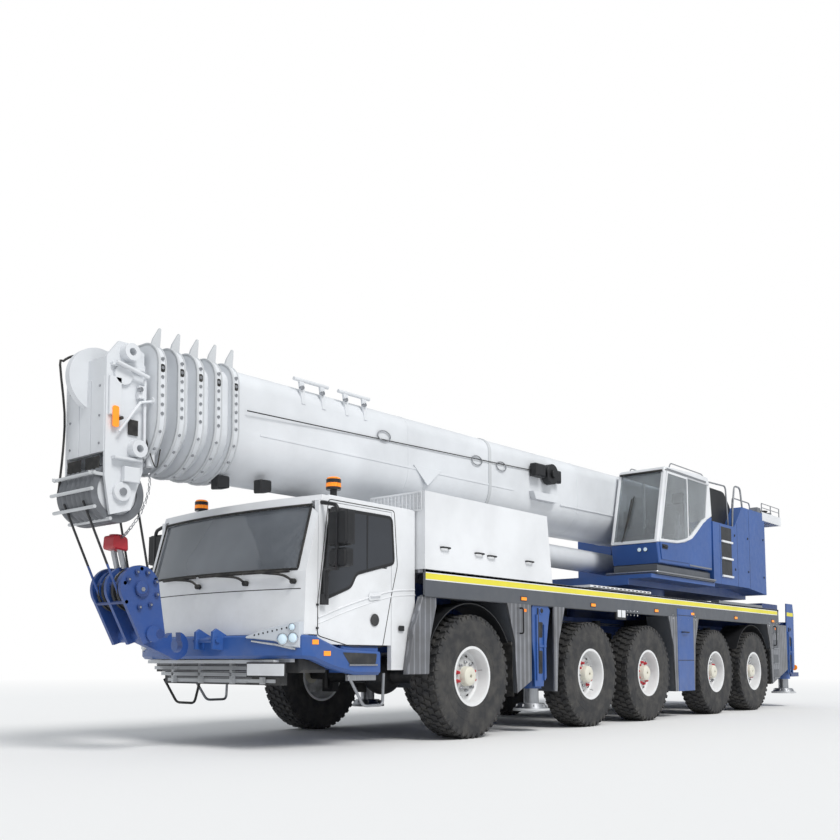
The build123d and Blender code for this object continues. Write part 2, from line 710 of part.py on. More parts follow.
def collar(inset, front):
    """The stiffening ring at a section's front, with the next section's wear seat inside it."""
    with BuildSketch(boom_plane(front - collar_thick)) as ring:
        add(boom_outline(-collar_proud))
        add(boom_outline(inset - wear_gap), mode=Mode.SUBTRACT)
    extrude(ring.sketch, amount=collar_thick)


# Boom base with its foot bosses and the clevis of the luffing cylinder
eye_y = y1 + luff_eye_from_axle_1
eye_along = (boom_pivot_y - eye_y) * cos(radians(boom_droop)) + (boom_pivot_z - luff_eye_z) * sin(radians(boom_droop))
eye_below = -((boom_pivot_z - luff_eye_z) * cos(radians(boom_droop)) - (boom_pivot_y - eye_y) * sin(radians(boom_droop)))
with BuildPart() as boom_base:
    boom_tube(0, boom_wall, -boom_tail, boom_front)
    collar(section_step, boom_front)
    for side, sign in sides:
        rod_x(sign * (boom_width / 2 - boom_wall), sign * (cheek_inner - 5), boom_pivot_y, boom_pivot_z,
              boom_boss_radius)
        clevis_inner = luff_eye_half + luff_clevis_gap
        with BuildSketch(boom_side_plane(sign * (clevis_inner + luff_clevis_plate / 2) + luff_clevis_plate / 2)):
            with BuildLine():
                Polyline((eye_along - 330, boom_top_above_pivot - boom_height + 60),
                         (eye_along + 260, boom_top_above_pivot - boom_height + 60),
                         (eye_along + 130, eye_below - 60), (eye_along - 100, eye_below - 100), close=True)
            make_face()
        extrude(amount=luff_clevis_plate)
    with BuildSketch(boom_plane(eye_along - 400)):
        add(boom_outline(boom_wall))
    extrude(amount=800, mode=Mode.SUBTRACT)
    rod_x(-boom_width, boom_width, boom_pivot_y, boom_pivot_z, boom_pin_radius + running_fit, Mode.SUBTRACT)
keep(boom_base.part, "boom_base")

# Middle sections, one inside the other
for number in range(1, section_count):
    front = boom_front + number * collar_pitch
    with BuildPart() as section:
        boom_tube(number * section_step, section_wall, section_rear + number * section_rear_step, front)
        collar((number + 1) * section_step, front)
    keep(section.part, f"boom_section_{number}")

# The top sheave's rim is the foremost point of the machine
top_sheave_along = ((boom_pivot_y + overall_length / 2 - top_sheave_radius
                     - top_sheave_height * sin(radians(boom_droop))) / cos(radians(boom_droop)))

# Head section: inner tube, box head with two side plates, sheaves and jib pin lugs
with BuildPart() as head:
    boom_tube(section_count * section_step, section_wall, section_rear + section_count * section_rear_step,
              head_rear + 60)
    for side, sign in sides:
        with BuildSketch(boom_side_plane(sign * (head_half - head_plate / 2) + head_plate / 2)):
            with BuildLine():
                Polyline((head_rear, head_top - 60), (head_rear + 120, head_top), (head_front - 120, head_top),
                         (head_front, head_top - 160), (head_front, head_bottom + 330),
                         (head_front - 60, head_bottom), (head_rear + 120, head_bottom + 60),
                         (head_rear, head_bottom + 420), close=True)
            make_face()
        extrude(amount=head_plate)
    with BuildSketch(boom_plane(head_rear)):
        with Locations((0, (head_top - 60 + head_bottom + 640) / 2)):
            Rectangle(2 * head_half, head_top - 60 - head_bottom - 640)
        add(boom_outline(section_count * section_step + section_wall), mode=Mode.SUBTRACT)
    extrude(amount=40)
    with BuildSketch(boom_plane(head_front - 30)):
        with Locations((0, (head_top - 160 + head_bottom + 560) / 2)):
            Rectangle(2 * head_half, head_top - 160 - head_bottom - 560)
    extrude(amount=30)
    with Locations(boom_side_plane(0).location):
        with Locations((sheave_along, sheave_below_pivot)):
            Cylinder(sheave_axle_radius, 2 * head_half)
            for index in range(sheave_count):
                with Locations((0, 0, (index - (sheave_count - 1) / 2) * sheave_pitch)):
                    Cylinder(sheave_radius, sheave_pitch * 0.7)
        with Locations((top_sheave_along, top_sheave_height)):
            Cylinder(sheave_axle_radius, 2 * head_half)
            Cylinder(top_sheave_radius, top_sheave_thick)
keep(head.part, "boom_head")

# Four lugs on the head's side plates, bored for the pins of a lattice jib's foot
with BuildPart() as jib_lugs:
    for side, sign in sides:
        with Locations(boom_side_plane(sign * (head_half + jib_lug_length / 2)).location):
            with Locations(*jib_lug_places):
                Cylinder(jib_lug_radius, jib_lug_length)
                Cylinder(jib_pin_radius, jib_lug_length, mode=Mode.SUBTRACT)
keep(jib_lugs.part, "jib_lugs")

# Luffing cylinder: barrel hinged on the turntable, rod with its eye at the boom's clevis
foot_y = slew_y + luff_foot_from_slew
rise = luff_eye_z - luff_foot_z
reach = foot_y - eye_y
luff_length = (rise ** 2 + reach ** 2) ** 0.5


def luff_plane(along):
    """The plane across the cylinder at a distance from its foot, Z pointing to the rod's eye."""
    return Plane(origin=(0, foot_y - along * reach / luff_length, luff_foot_z + along * rise / luff_length),
                 x_dir=(1, 0, 0), z_dir=(0, -reach / luff_length, rise / luff_length))


barrel_front = luff_length - luff_gland
with BuildPart() as barrel:
    with BuildSketch(luff_plane(200)):
        Circle(luff_barrel_radius)
    extrude(amount=barrel_front - 200)
    rod_x(-125, 125, foot_y, luff_foot_z, 130)
    with BuildSketch(luff_plane(0)):
        Rectangle(250, 240)
    extrude(amount=210)
    with BuildSketch(luff_plane(260)):
        Circle(luff_rod_radius + 1)
    extrude(amount=barrel_front, mode=Mode.SUBTRACT)
    rod_x(-200, 200, foot_y, luff_foot_z, 60 + running_fit, Mode.SUBTRACT)
keep(barrel.part, "luff_barrel")

with BuildPart() as rod:
    with BuildSketch(luff_plane(300)):
        Circle(luff_rod_radius)
    extrude(amount=luff_length - 300 - luff_neck)
    with BuildSketch(luff_plane(luff_length - luff_neck)):
        Rectangle(2 * luff_eye_half, 2 * luff_eye_radius - 20)
    extrude(amount=luff_neck)
    rod_x(-luff_eye_half, luff_eye_half, eye_y, luff_eye_z, luff_eye_radius)
    rod_x(-luff_eye_half, luff_eye_half, eye_y, luff_eye_z, 60, Mode.SUBTRACT)
keep(rod.part, "luff_rod")

# Hook block hanging from the head's lower sheaves on its rope falls
droop = radians(boom_droop)
hang_y = boom_pivot_y - sheave_along * cos(droop) - sheave_below_pivot * sin(droop)
hang_z = boom_pivot_z - sheave_along * sin(droop) + sheave_below_pivot * cos(droop)
tie = radians(block_tie)


def block_side_plane(x):
    """The block's side view: X to the front, Y up along the falls, from the head's sheave axle."""
    return Plane(origin=(x, hang_y, hang_z), x_dir=(0, -cos(tie), -sin(tie)), z_dir=(-1, 0, 0))


with BuildPart() as hook_block:
    for plate in (-1, 0, 1):
        with BuildSketch(block_side_plane(plate * (block_half - block_plate / 2) + block_plate / 2)):
            with Locations((0, -block_drop)):
                Circle(block_radius)
            with BuildLine():
                Polyline((-block_radius, -block_drop), (-block_foot, -block_drop - block_low),
                         (block_foot, -block_drop - block_low), (block_radius, -block_drop), close=True)
            make_face()
        extrude(amount=block_plate)
    with Locations(block_side_plane(0).location):
        with Locations((0, -block_drop)):
            Cylinder(60, 2 * block_half + 60)
            for index in rope_sheaves:
                with Locations((0, 0, index * sheave_pitch)):
                    Cylinder(block_radius - 25, sheave_pitch * 0.6)
        with Locations((0, -block_drop - block_low + 60)):
            Cylinder(75, 2 * block_half + 40)
    # The hook lies back from the block: shank, bowl and a point that turns up
    with BuildSketch(block_side_plane(hook_thick / 2)):
        with Locations((-hook_back, -hook_below)):
            Circle(hook_radius)
        with BuildLine():
            Polyline((0, -block_drop - block_low + 100), (60, -block_drop - block_low + 20),
                     (-hook_back + 40, -hook_below - hook_radius), (-hook_back - 20, -hook_below + 40), close=True)
        make_face()
        with Locations((-hook_back, -hook_below)):
            Circle(hook_bowl, mode=Mode.SUBTRACT)
            with Locations(Location((0, 0, 0), (0, 0, 105))):
                with Locations((hook_radius, 0)):
                    Rectangle(2 * hook_radius, 1.5 * hook_bowl, mode=Mode.SUBTRACT)
    extrude(amount=hook_thick)
    rope_top = sheave_radius + rope_radius + 2
    for index in rope_sheaves:
        for front in (-1, 1):
            fall_plane = block_side_plane(index * sheave_pitch)
            top = fall_plane.from_local_coords(Vector(front * rope_top, 0, 0))
            foot = fall_plane.from_local_coords(Vector(front * (block_radius - 30), -block_drop, 0))
            with BuildSketch(Plane(origin=top, z_dir=foot - top)):
                Circle(rope_radius)
            extrude(amount=(foot - top).length)
keep(hook_block.part, "hook_block")
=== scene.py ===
# %% [markdown]
# A five-axle mobile crane, dressed around its solid model.
# The solid model holds the sizes and the joints; this script adds the finish of every surface and
# the pieces too small or too soft for the solids: tread blocks, nuts, lamps, ropes, rails and seams.
# It is read from top to bottom: camera and light, finishes, shape helpers, then the wheels, the
# driver's cab, the carrier, the operator's cab, the covers, the boom and the hook block.

# %% Load the frame
from math import radians

import bmesh
import bpy
import numpy as np
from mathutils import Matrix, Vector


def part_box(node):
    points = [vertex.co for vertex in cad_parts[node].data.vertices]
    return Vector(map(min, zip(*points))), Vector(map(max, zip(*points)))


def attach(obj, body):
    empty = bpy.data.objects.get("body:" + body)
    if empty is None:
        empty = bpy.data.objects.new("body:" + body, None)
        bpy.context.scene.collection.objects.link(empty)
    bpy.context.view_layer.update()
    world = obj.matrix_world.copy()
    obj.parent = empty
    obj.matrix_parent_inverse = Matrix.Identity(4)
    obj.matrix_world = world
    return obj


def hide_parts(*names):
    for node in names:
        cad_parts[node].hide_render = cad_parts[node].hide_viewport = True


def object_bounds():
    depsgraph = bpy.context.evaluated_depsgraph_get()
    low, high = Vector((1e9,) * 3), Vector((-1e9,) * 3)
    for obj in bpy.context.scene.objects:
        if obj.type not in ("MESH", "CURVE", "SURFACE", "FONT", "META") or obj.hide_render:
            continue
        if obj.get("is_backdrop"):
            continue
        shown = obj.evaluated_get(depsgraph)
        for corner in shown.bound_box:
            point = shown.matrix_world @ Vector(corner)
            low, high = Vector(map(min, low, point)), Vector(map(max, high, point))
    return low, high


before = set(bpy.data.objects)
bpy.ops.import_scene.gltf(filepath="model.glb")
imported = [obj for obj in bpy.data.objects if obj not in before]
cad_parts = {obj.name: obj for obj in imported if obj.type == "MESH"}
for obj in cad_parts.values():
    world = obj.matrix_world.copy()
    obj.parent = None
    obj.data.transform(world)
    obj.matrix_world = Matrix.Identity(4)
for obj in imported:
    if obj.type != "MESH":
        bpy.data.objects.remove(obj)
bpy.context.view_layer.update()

# %% [markdown]
# The camera stands low in front of the crane's left corner, as the photographer did. Its place and
# lens were worked out from the wheels, whose spacing and size are known. The lens is shifted upwards,
# as on a view camera, so that upright edges stay nearly upright.

# %% Camera
CAMERA_PLACE = (7.7936, -11.9292, 0.8417)
CAMERA_PITCH = 5.4875
CAMERA_TURN = 39.917
LENS_MM = 41.176
LENS_SHIFT = 0.17827

camera_data = bpy.data.cameras.new("camera")
camera_data.lens = LENS_MM
camera_data.sensor_width = 36
camera_data.shift_y = LENS_SHIFT
camera_data.clip_start = 0.1
camera_data.clip_end = 500
camera = bpy.data.objects.new("camera", camera_data)
camera.location = CAMERA_PLACE
camera.rotation_euler = (radians(90 + CAMERA_PITCH), 0, radians(CAMERA_TURN))
bpy.context.scene.collection.objects.link(camera)
bpy.context.scene.camera = camera
print("camera", LENS_MM, "mm at", CAMERA_PLACE)

# %% [markdown]
# Plain studio light: an even pale sky, and one broad sun from the crane's left and above, which is
# where the picture's light comes from. A broad sun gives soft shadow edges. The sky shows as plain
# white to the camera and through glass, but lights the crane at a lower level, so that a colour
# renders about as it is written.

# %% Light and sky
SUN_POWER = 2.05
SUN_SPREAD = 22
SUN_TILT, SUN_TURN = 42, 78
SUN_TINT = (1.0, 0.985, 0.96)
SKY_POWER = 0.58
SKY_TINT = (0.92, 0.96, 1.0, 1)

bpy.context.scene.view_settings.view_transform = "Standard"


def nodes_of(holder):
    """The emptied node tree of a material or world, ready to be filled."""
    holder.use_nodes = True
    holder.node_tree.nodes.clear()
    return holder.node_tree


world = bpy.data.worlds.new("studio")
bpy.context.scene.world = world
tree = nodes_of(world)
sky = tree.nodes.new("ShaderNodeBackground")
seen = tree.nodes.new("ShaderNodeBackground")
path = tree.nodes.new("ShaderNodeLightPath")
either = tree.nodes.new("ShaderNodeMath")
mixed = tree.nodes.new("ShaderNodeMixShader")
out = tree.nodes.new("ShaderNodeOutputWorld")
sky.inputs["Color"].default_value = SKY_TINT
sky.inputs["Strength"].default_value = SKY_POWER
seen.inputs["Color"].default_value = (1, 1, 1, 1)
seen.inputs["Strength"].default_value = 1.0
either.operation = "MAXIMUM"
tree.links.new(path.outputs["Is Camera Ray"], either.inputs[0])
tree.links.new(path.outputs["Is Transmission Ray"], either.inputs[1])
tree.links.new(either.outputs[0], mixed.inputs["Fac"])
tree.links.new(sky.outputs[0], mixed.inputs[1])
tree.links.new(seen.outputs[0], mixed.inputs[2])
tree.links.new(mixed.outputs[0], out.inputs["Surface"])

sun_data = bpy.data.lights.new("sun", "SUN")
sun_data.energy = SUN_POWER
sun_data.angle = radians(SUN_SPREAD)
sun_data.color = SUN_TINT
sun = bpy.data.objects.new("sun", sun_data)
sun.rotation_euler = (radians(SUN_TILT), 0, radians(SUN_TURN))
bpy.context.scene.collection.objects.link(sun)
print("sun", SUN_POWER, "sky", SKY_POWER)

# %% [markdown]
# The floor is one pale sheet. It keeps the crane's shadow, and far away it turns to plain white, so
# that no horizon line cuts the background. It is marked as stage: it isn't part of the crane.

# %% Floor
FLOOR_GREY = 0.86
FLOOR_REACH = 90.0
FLOOR_FADE_FROM = 14.0
FLOOR_FADE_TO = 40.0

floor_mesh = bpy.data.meshes.new("floor")
corners = [(x * FLOOR_REACH, y * FLOOR_REACH, 0) for x, y in ((-1, -1), (1, -1), (1, 1), (-1, 1))]
floor_mesh.from_pydata(corners, [], [(0, 1, 2, 3)])
floor = bpy.data.objects.new("floor", floor_mesh)
bpy.context.scene.collection.objects.link(floor)
floor_finish = bpy.data.materials.new("floor_pale")
tree = nodes_of(floor_finish)
place = tree.nodes.new("ShaderNodeTexCoord")
distance = tree.nodes.new("ShaderNodeVectorMath")
distance.operation = "LENGTH"
fade = tree.nodes.new("ShaderNodeMapRange")
fade.inputs["From Min"].default_value = FLOOR_FADE_FROM
fade.inputs["From Max"].default_value = FLOOR_FADE_TO
matt = tree.nodes.new("ShaderNodeBsdfDiffuse")
matt.inputs["Color"].default_value = (FLOOR_GREY, FLOOR_GREY, FLOOR_GREY, 1)
glow = tree.nodes.new("ShaderNodeEmission")
glow.inputs["Strength"].default_value = 1.0
blend = tree.nodes.new("ShaderNodeMixShader")
out = tree.nodes.new("ShaderNodeOutputMaterial")
tree.links.new(place.outputs["Object"], distance.inputs[0])
tree.links.new(distance.outputs["Value"], fade.inputs["Value"])
tree.links.new(fade.outputs[0], blend.inputs["Fac"])
tree.links.new(matt.outputs[0], blend.inputs[1])
tree.links.new(glow.outputs[0], blend.inputs[2])
tree.links.new(blend.outputs[0], out.inputs["Surface"])
floor_mesh.materials.append(floor_finish)
floor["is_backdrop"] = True
print("floor reaches", FLOOR_REACH, "m each way")

# %% [markdown]
# Finishes. Every paint on the crane is the same idea: a base colour, a little cloudiness, road dust
# that grows towards the ground, and a fine orange-peel bump. One function builds that network, and
# each finish only changes its numbers. The patterns read Object coordinates, which are the crane's
# own metres, so a pattern has the same scale on every piece.

# %% A helper for node networks


def grey(value):
    """An sRGB grey from 0 to 255 as a linear value."""
    share = value / 255
    return share / 12.92 if share <= 0.04045 else ((share + 0.055) / 1.055) ** 2.4


def colour(red, green, blue):
    """An sRGB colour, 0 to 255 each, as the linear colour that a node takes."""
    return (grey(red), grey(green), grey(blue), 1.0)


class Network:
    """A material's nodes, added one by one and wired by name."""

    def __init__(self, name):
        self.material = bpy.data.materials.new(name)
        self.tree = nodes_of(self.material)
        self.shader = self.add("ShaderNodeBsdfPrincipled")
        out = self.add("ShaderNodeOutputMaterial")
        self.wire(self.shader, "BSDF", out, "Surface")
        self.place = self.add("ShaderNodeTexCoord")

    def add(self, kind, **values):
        node = self.tree.nodes.new(kind)
        for key, value in values.items():
            setattr(node, key, value)
        return node

    def wire(self, source, output, target, socket):
        self.tree.links.new(source.outputs[output], target.inputs[socket])

    def noise(self, scale, detail=3.0, roughness=0.55, stretch=None):
        """Cloudy noise on Object coordinates, scale in patches per metre."""
        node = self.add("ShaderNodeTexNoise")
        node.inputs["Scale"].default_value = scale
        node.inputs["Detail"].default_value = detail
        node.inputs["Roughness"].default_value = roughness
        if stretch:
            turn = self.add("ShaderNodeMapping")
            turn.inputs["Scale"].default_value = stretch
            self.wire(self.place, "Object", turn, "Vector")
            self.wire(turn, "Vector", node, "Vector")
        else:
            self.wire(self.place, "Object", node, "Vector")
        return node

    def ramp(self, source, output, low, high, to_low=0.0, to_high=1.0):
        """A value mapped from one range to another, clamped."""
        node = self.add("ShaderNodeMapRange")
        for key, value in (("From Min", low), ("From Max", high), ("To Min", to_low), ("To Max", to_high)):
            node.inputs[key].default_value = value
        self.wire(source, output, node, "Value")
        return node

    def mix(self, share, first, second):
        """Two colours, or outputs, mixed by a share; each is a colour or a (node, output) pair."""
        node = self.add("ShaderNodeMix", data_type="RGBA")
        for socket, value in ((0, share), (6, first), (7, second)):
            if isinstance(value, tuple) and len(value) == 2:
                self.tree.links.new(value[0].outputs[value[1]], node.inputs[socket])
            else:
                node.inputs[socket].default_value = value
        return node

    def math(self, operation, first, second=0.0):
        """A Math node; each operand is a number or a (node, output) pair."""
        node = self.add("ShaderNodeMath", operation=operation)
        for socket, value in ((0, first), (1, second)):
            if isinstance(value, tuple):
                self.tree.links.new(value[0].outputs[value[1]], node.inputs[socket])
            else:
                node.inputs[socket].default_value = value
        return node

    def feed(self, source, output, socket):
        """An output led to one of the shader's inputs."""
        self.wire(source, output, self.shader, socket)

    def put(self, socket, value):
        """A fixed value for one of the shader's inputs."""
        self.shader.inputs[socket].default_value = value

    def bump(self, source, output, depth, strength):
        """A bump from a height, depth in metres, led to the shader's normal."""
        node = self.add("ShaderNodeBump")
        node.inputs["Distance"].default_value = depth
        node.inputs["Strength"].default_value = strength
        self.wire(source, output, node, "Height")
        self.feed(node, "Normal", "Normal")


def shade(tone, share):
    """A colour made darker: its channels times a share."""
    return tuple(channel * share for channel in tone[:3]) + (1.0,)


print("network helper ready")

# %% [markdown]
# Painted steel. Real paint on a new crane is clean and glossy, yet never one flat colour: panels dry
# slightly cloudy, and dust settles low down and in broad patches. Noises at several scales say that,
# and height above the ground decides how much dust there is.

# %% Painted steel
DUST = colour(150, 146, 138)
PEEL_DEPTH = 0.0004


def painted(name, tone, gloss_roughness=0.32, dust=0.25, coat=0.25):
    """Paint: tone clouded by noise, dust by height and noise, orange-peel bump."""
    net = Network(name)
    cloud = net.noise(1.3, 4.0)
    darker = shade(tone, 0.86)
    body = net.mix((net.ramp(cloud, "Fac", 0.35, 0.7), "Result"), tone, darker)
    split = net.add("ShaderNodeSeparateXYZ")
    net.wire(net.place, "Object", split, "Vector")
    low = net.ramp(split, "Z", 0.2, 2.2, dust, dust * 0.12)
    patch = net.ramp(net.noise(3.5, 6.0, 0.65), "Fac", 0.42, 0.72)
    fine = net.ramp(net.noise(60.0, 2.0), "Fac", 0.3, 0.7, 0.6, 1.0)
    share = net.math("MULTIPLY", (low, "Result"), (patch, "Result"))
    share = net.math("MULTIPLY", (share, 0), (fine, "Result"))
    dirty = net.mix((share, 0), (body, "Result"), DUST)
    net.feed(dirty, "Result", "Base Color")
    rough = net.ramp(net.noise(9.0, 3.0), "Fac", 0.3, 0.75, gloss_roughness, gloss_roughness + 0.16)
    total = net.math("ADD", (rough, "Result"), (share, 0))
    net.feed(total, 0, "Roughness")
    net.bump(net.noise(220.0, 1.0), "Fac", PEEL_DEPTH, 0.25)
    net.put("Coat Weight", coat)
    net.put("Coat Roughness", 0.08)
    return net.material


WHITE_TONE = colour(236, 238, 241)
WHITE = painted("white_paint", WHITE_TONE)
BOOM_WHITE = painted("boom_white", colour(228, 231, 235), 0.36)
BLUE = painted("blue_paint", colour(46, 88, 158), 0.3)
DARK_BLUE = painted("dark_blue_paint", colour(34, 62, 122), 0.38)
GREY = painted("skirt_grey", colour(84, 88, 95), 0.42)
PALE_GREY = painted("pale_grey_paint", colour(205, 208, 211), 0.4)
BLACK = painted("black_paint", colour(36, 38, 42), 0.42, 0.35, 0.1)
RED = painted("red_paint", colour(190, 34, 48), 0.35)
YELLOW = painted("yellow_stripe", colour(238, 226, 62), 0.4, 0.1)
print("painted finishes made")

# %% [markdown]
# The other finishes: rubber, bare and chromed metal, glass, lamps and black plastic.

# %% Rubber, metal, glass and plastic


def rubber(name, tone):
    """Matt rubber: dark grey, dusted in patches, with a fine grain."""
    net = Network(name)
    dusty = net.ramp(net.noise(7.0, 5.0, 0.6), "Fac", 0.4, 0.72, 0.05, 0.5)
    body = net.mix((dusty, "Result"), tone, colour(98, 95, 90))
    net.feed(body, "Result", "Base Color")
    net.put("Roughness", 0.78)
    net.bump(net.noise(400.0, 2.0), "Fac", 0.0008, 0.5)
    return net.material


def metal(name, tone, roughness, streak=(1, 1, 1)):
    """Bare metal: brushed along one way, with stains in its roughness."""
    net = Network(name)
    brush = net.noise(140.0, 2.0, 0.5, streak)
    darker = shade(tone, 0.8)
    body = net.mix((net.ramp(brush, "Fac", 0.3, 0.7), "Result"), tone, darker)
    net.feed(body, "Result", "Base Color")
    stain = net.ramp(net.noise(6.0, 4.0), "Fac", 0.35, 0.7, roughness, roughness + 0.22)
    net.feed(stain, "Result", "Roughness")
    net.bump(brush, "Fac", 0.0002, 0.4)
    net.put("Metallic", 1.0)
    return net.material


def window(name, tone, see_through, milk):
    """Glass: a clear coat over a tint clouded by noise and only partly seen through; the tint is
    painted light: a pale one is painted sky reflection, a dark one painted shade.
    """
    net = Network(name)
    painted_light_cloud = net.ramp(net.noise(1.1, 3.0), "Fac", 0.3, 0.7, 0.8, 1.15)
    tinted = net.add("ShaderNodeVectorMath", operation="SCALE")
    tinted.inputs[0].default_value = tone[:3]
    net.wire(painted_light_cloud, "Result", tinted, "Scale")
    net.feed(tinted, "Vector", "Base Color")
    net.put("Roughness", 0.04)
    net.put("Transmission Weight", see_through)
    net.put("IOR", 1.45)
    net.put("Coat Weight", milk)
    return net.material


def plastic(name, tone, roughness=0.5):
    """Moulded plastic: a faint mottle and a leather-like grain."""
    net = Network(name)
    darker = shade(tone, 0.75)
    body = net.mix((net.ramp(net.noise(12.0, 3.0), "Fac", 0.35, 0.7), "Result"), tone, darker)
    net.feed(body, "Result", "Base Color")
    net.put("Roughness", roughness)
    cells = net.add("ShaderNodeTexVoronoi")
    cells.inputs["Scale"].default_value = 450.0
    net.wire(net.place, "Object", cells, "Vector")
    net.bump(cells, "Distance", 0.0004, 0.5)
    return net.material


def lamp(name, tone, glow):
    """A lamp's lens: ribbed, glossy, with a little light of its own."""
    net = Network(name)
    wave = net.add("ShaderNodeTexWave", wave_type="BANDS", bands_direction="X")
    wave.inputs["Scale"].default_value = 28.0
    net.wire(net.place, "Object", wave, "Vector")
    pale = tuple(min(1.0, channel * 1.4 + 0.02) for channel in tone[:3]) + (1.0,)
    body = net.mix((wave, "Fac"), tone, pale)
    net.feed(body, "Result", "Base Color")
    net.feed(body, "Result", "Emission Color")
    net.put("Emission Strength", glow)
    net.put("Roughness", 0.12)
    net.bump(wave, "Fac", 0.002, 0.6)
    return net.material


def tread_plate(name, tone):
    """Chequered steel deck plate: raised lozenges from two crossed waves, worn bright on top."""
    net = Network(name)
    height = None
    for turn in (0.7854, -0.7854):
        mapping = net.add("ShaderNodeMapping")
        mapping.inputs["Rotation"].default_value = (0, 0, turn)
        net.wire(net.place, "Object", mapping, "Vector")
        wave = net.add("ShaderNodeTexWave", wave_type="BANDS", bands_direction="X")
        wave.inputs["Scale"].default_value = 5.0
        net.wire(mapping, "Vector", wave, "Vector")
        height = wave if height is None else net.math("MULTIPLY", (height, "Fac"), (wave, "Fac"))
    raised = net.ramp(height, 0, 0.35, 0.6)
    darker = shade(tone, 0.62)
    body = net.mix((raised, "Result"), darker, tone)
    dirt = net.ramp(net.noise(2.2, 5.0), "Fac", 0.42, 0.7, 0.0, 0.55)
    dirty = net.mix((dirt, "Result"), (body, "Result"), colour(92, 90, 86))
    net.feed(dirty, "Result", "Base Color")
    net.put("Metallic", 0.6)
    net.put("Roughness", 0.42)
    net.bump(raised, "Result", 0.003, 0.8)
    return net.material


TYRE = rubber("tyre_rubber", colour(44, 45, 48))
SEAL = rubber("black_rubber", colour(24, 25, 27))
STEEL = metal("bright_steel", colour(176, 178, 182), 0.3, (1, 1, 0.05))
CHROME = metal("chromed_rod", colour(214, 216, 220), 0.1, (1, 0.05, 1))
# The pale grey tints of the windscreen and side glass are painted sky reflection.
SCREEN = window("windscreen_glass", colour(150, 156, 164), 0.55, 0.4)
CRANE_GLASS = window("side_glass", colour(168, 176, 184), 0.65, 0.4)
PLASTIC = plastic("black_plastic", colour(30, 31, 34))
SEAT = plastic("seat_cloth", colour(52, 56, 66), 0.85)
GRIP = plastic("grey_plastic", colour(110, 113, 118))
AMBER = lamp("amber_lens", colour(246, 128, 20), 0.35)
RED_LENS = lamp("red_lens", colour(190, 20, 24), 0.15)
HEADLIGHT = lamp("headlamp_lens", colour(196, 214, 236), 0.12)
DECK = tread_plate("tread_plate", colour(158, 160, 166))
print("rubber, metal, glass and plastic made")

# %% [markdown]
# The solid model's own nodes keep their shapes and only take a finish. A dictionary says which finish
# each node has; a name that ends in a star stands for all the nodes that start that way.

# %% Finishes on the solid model
NODE_FINISH = {
    "tyre_*": TYRE, "rim_*": WHITE, "knuckle_*": BLACK, "axles": BLACK, "chassis_frame": DARK_BLUE,
    "beam_*": BLUE, "jack_*": STEEL, "carrier_deck": GREY, "engine_housing": WHITE, "cab_shell": WHITE,
    "door_*": WHITE, "cab_glass": SCREEN, "cab_interior": PLASTIC, "front_bumper": BLUE, "turntable": BLUE,
    "crane_cab_shell": WHITE, "crane_cab_glass": CRANE_GLASS, "crane_cab_door": WHITE, "boom_*": BOOM_WHITE,
    "jib_lugs": BOOM_WHITE, "luff_barrel": BOOM_WHITE, "luff_rod": CHROME, "hook_block": BLUE,
}
for name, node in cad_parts.items():
    for pattern, finish in NODE_FINISH.items():
        if name == pattern or (pattern.endswith("*") and name.startswith(pattern[:-1])):
            node.data.materials.clear()
            node.data.materials.append(finish)
            break
    else:
        raise KeyError(name)


def marked(material, tone, least, most):
    """The same paint with another colour inside a box of |X|, Y and Z; the share is a product of
    greater-than and less-than steps."""
    tree = material.node_tree
    shader = next(node for node in tree.nodes if node.type == "BSDF_PRINCIPLED")
    source = shader.inputs["Base Color"].links[0].from_socket
    place = tree.nodes.new("ShaderNodeTexCoord")
    split = tree.nodes.new("ShaderNodeSeparateXYZ")
    tree.links.new(place.outputs["Object"], split.inputs[0])
    size = tree.nodes.new("ShaderNodeMath")
    size.operation = "ABSOLUTE"
    tree.links.new(split.outputs["X"], size.inputs[0])
    share = None
    for output, low, high in zip((size.outputs[0], split.outputs["Y"], split.outputs["Z"]), least, most):
        for operation, bound in (("GREATER_THAN", low), ("LESS_THAN", high)):
            step = tree.nodes.new("ShaderNodeMath")
            step.operation = operation
            tree.links.new(output, step.inputs[0])
            step.inputs[1].default_value = bound
            if share is None:
                share = step.outputs[0]
            else:
                both_true = tree.nodes.new("ShaderNodeMath")
                both_true.operation = "MULTIPLY"
                tree.links.new(share, both_true.inputs[0])
                tree.links.new(step.outputs[0], both_true.inputs[1])
                share = both_true.outputs[0]
    mixed = tree.nodes.new("ShaderNodeMix")
    mixed.data_type = "RGBA"
    tree.links.new(share, mixed.inputs[0])
    tree.links.new(source, mixed.inputs[6])
    mixed.inputs[7].default_value = tone
    tree.links.new(mixed.outputs[2], shader.inputs["Base Color"])
    return material


def dress(pattern, finish):
    """Puts a finish on every node whose name starts with the pattern."""
    for name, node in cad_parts.items():
        if name.startswith(pattern):
            node.data.materials.clear()
            node.data.materials.append(finish)


DARK_TONE = colour(30, 31, 34)
dress("door_", marked(painted("door_white", WHITE_TONE), DARK_TONE, (1.262, -9, 0), (2, 9, 3)))
dress("cab_shell", marked(painted("cab_white", WHITE_TONE), DARK_TONE, (0.96, -5.33, 2.462),
                          (1.16, -5.12, 3)))
block_paint = painted("block_blue", colour(40, 76, 144), 0.34)
dress("hook_block", marked(block_paint, DARK_TONE, (-1, -9, 1.715), (2, 9, 4)))
print(len(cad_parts), "nodes have their finish")

# %% [markdown]
# Shapes. Every extra piece is a surface computed as whole arrays: rings of points that are joined into
# walls. A shape is three arrays (points, corners per face, corner indices), so that many copies can be
# joined, mirrored and turned at once before one mesh is made.

# %% Shape helpers
def shape(points, *groups):
    """A shape from points and groups of faces; every group is an array of rows of corner indices."""
    groups = [np.atleast_2d(group) for group in groups]
    counts = np.concatenate([np.full(len(group), group.shape[1]) for group in groups])
    corners = np.concatenate([group.ravel() for group in groups])
    return np.asarray(points, float).reshape(-1, 3), counts, corners


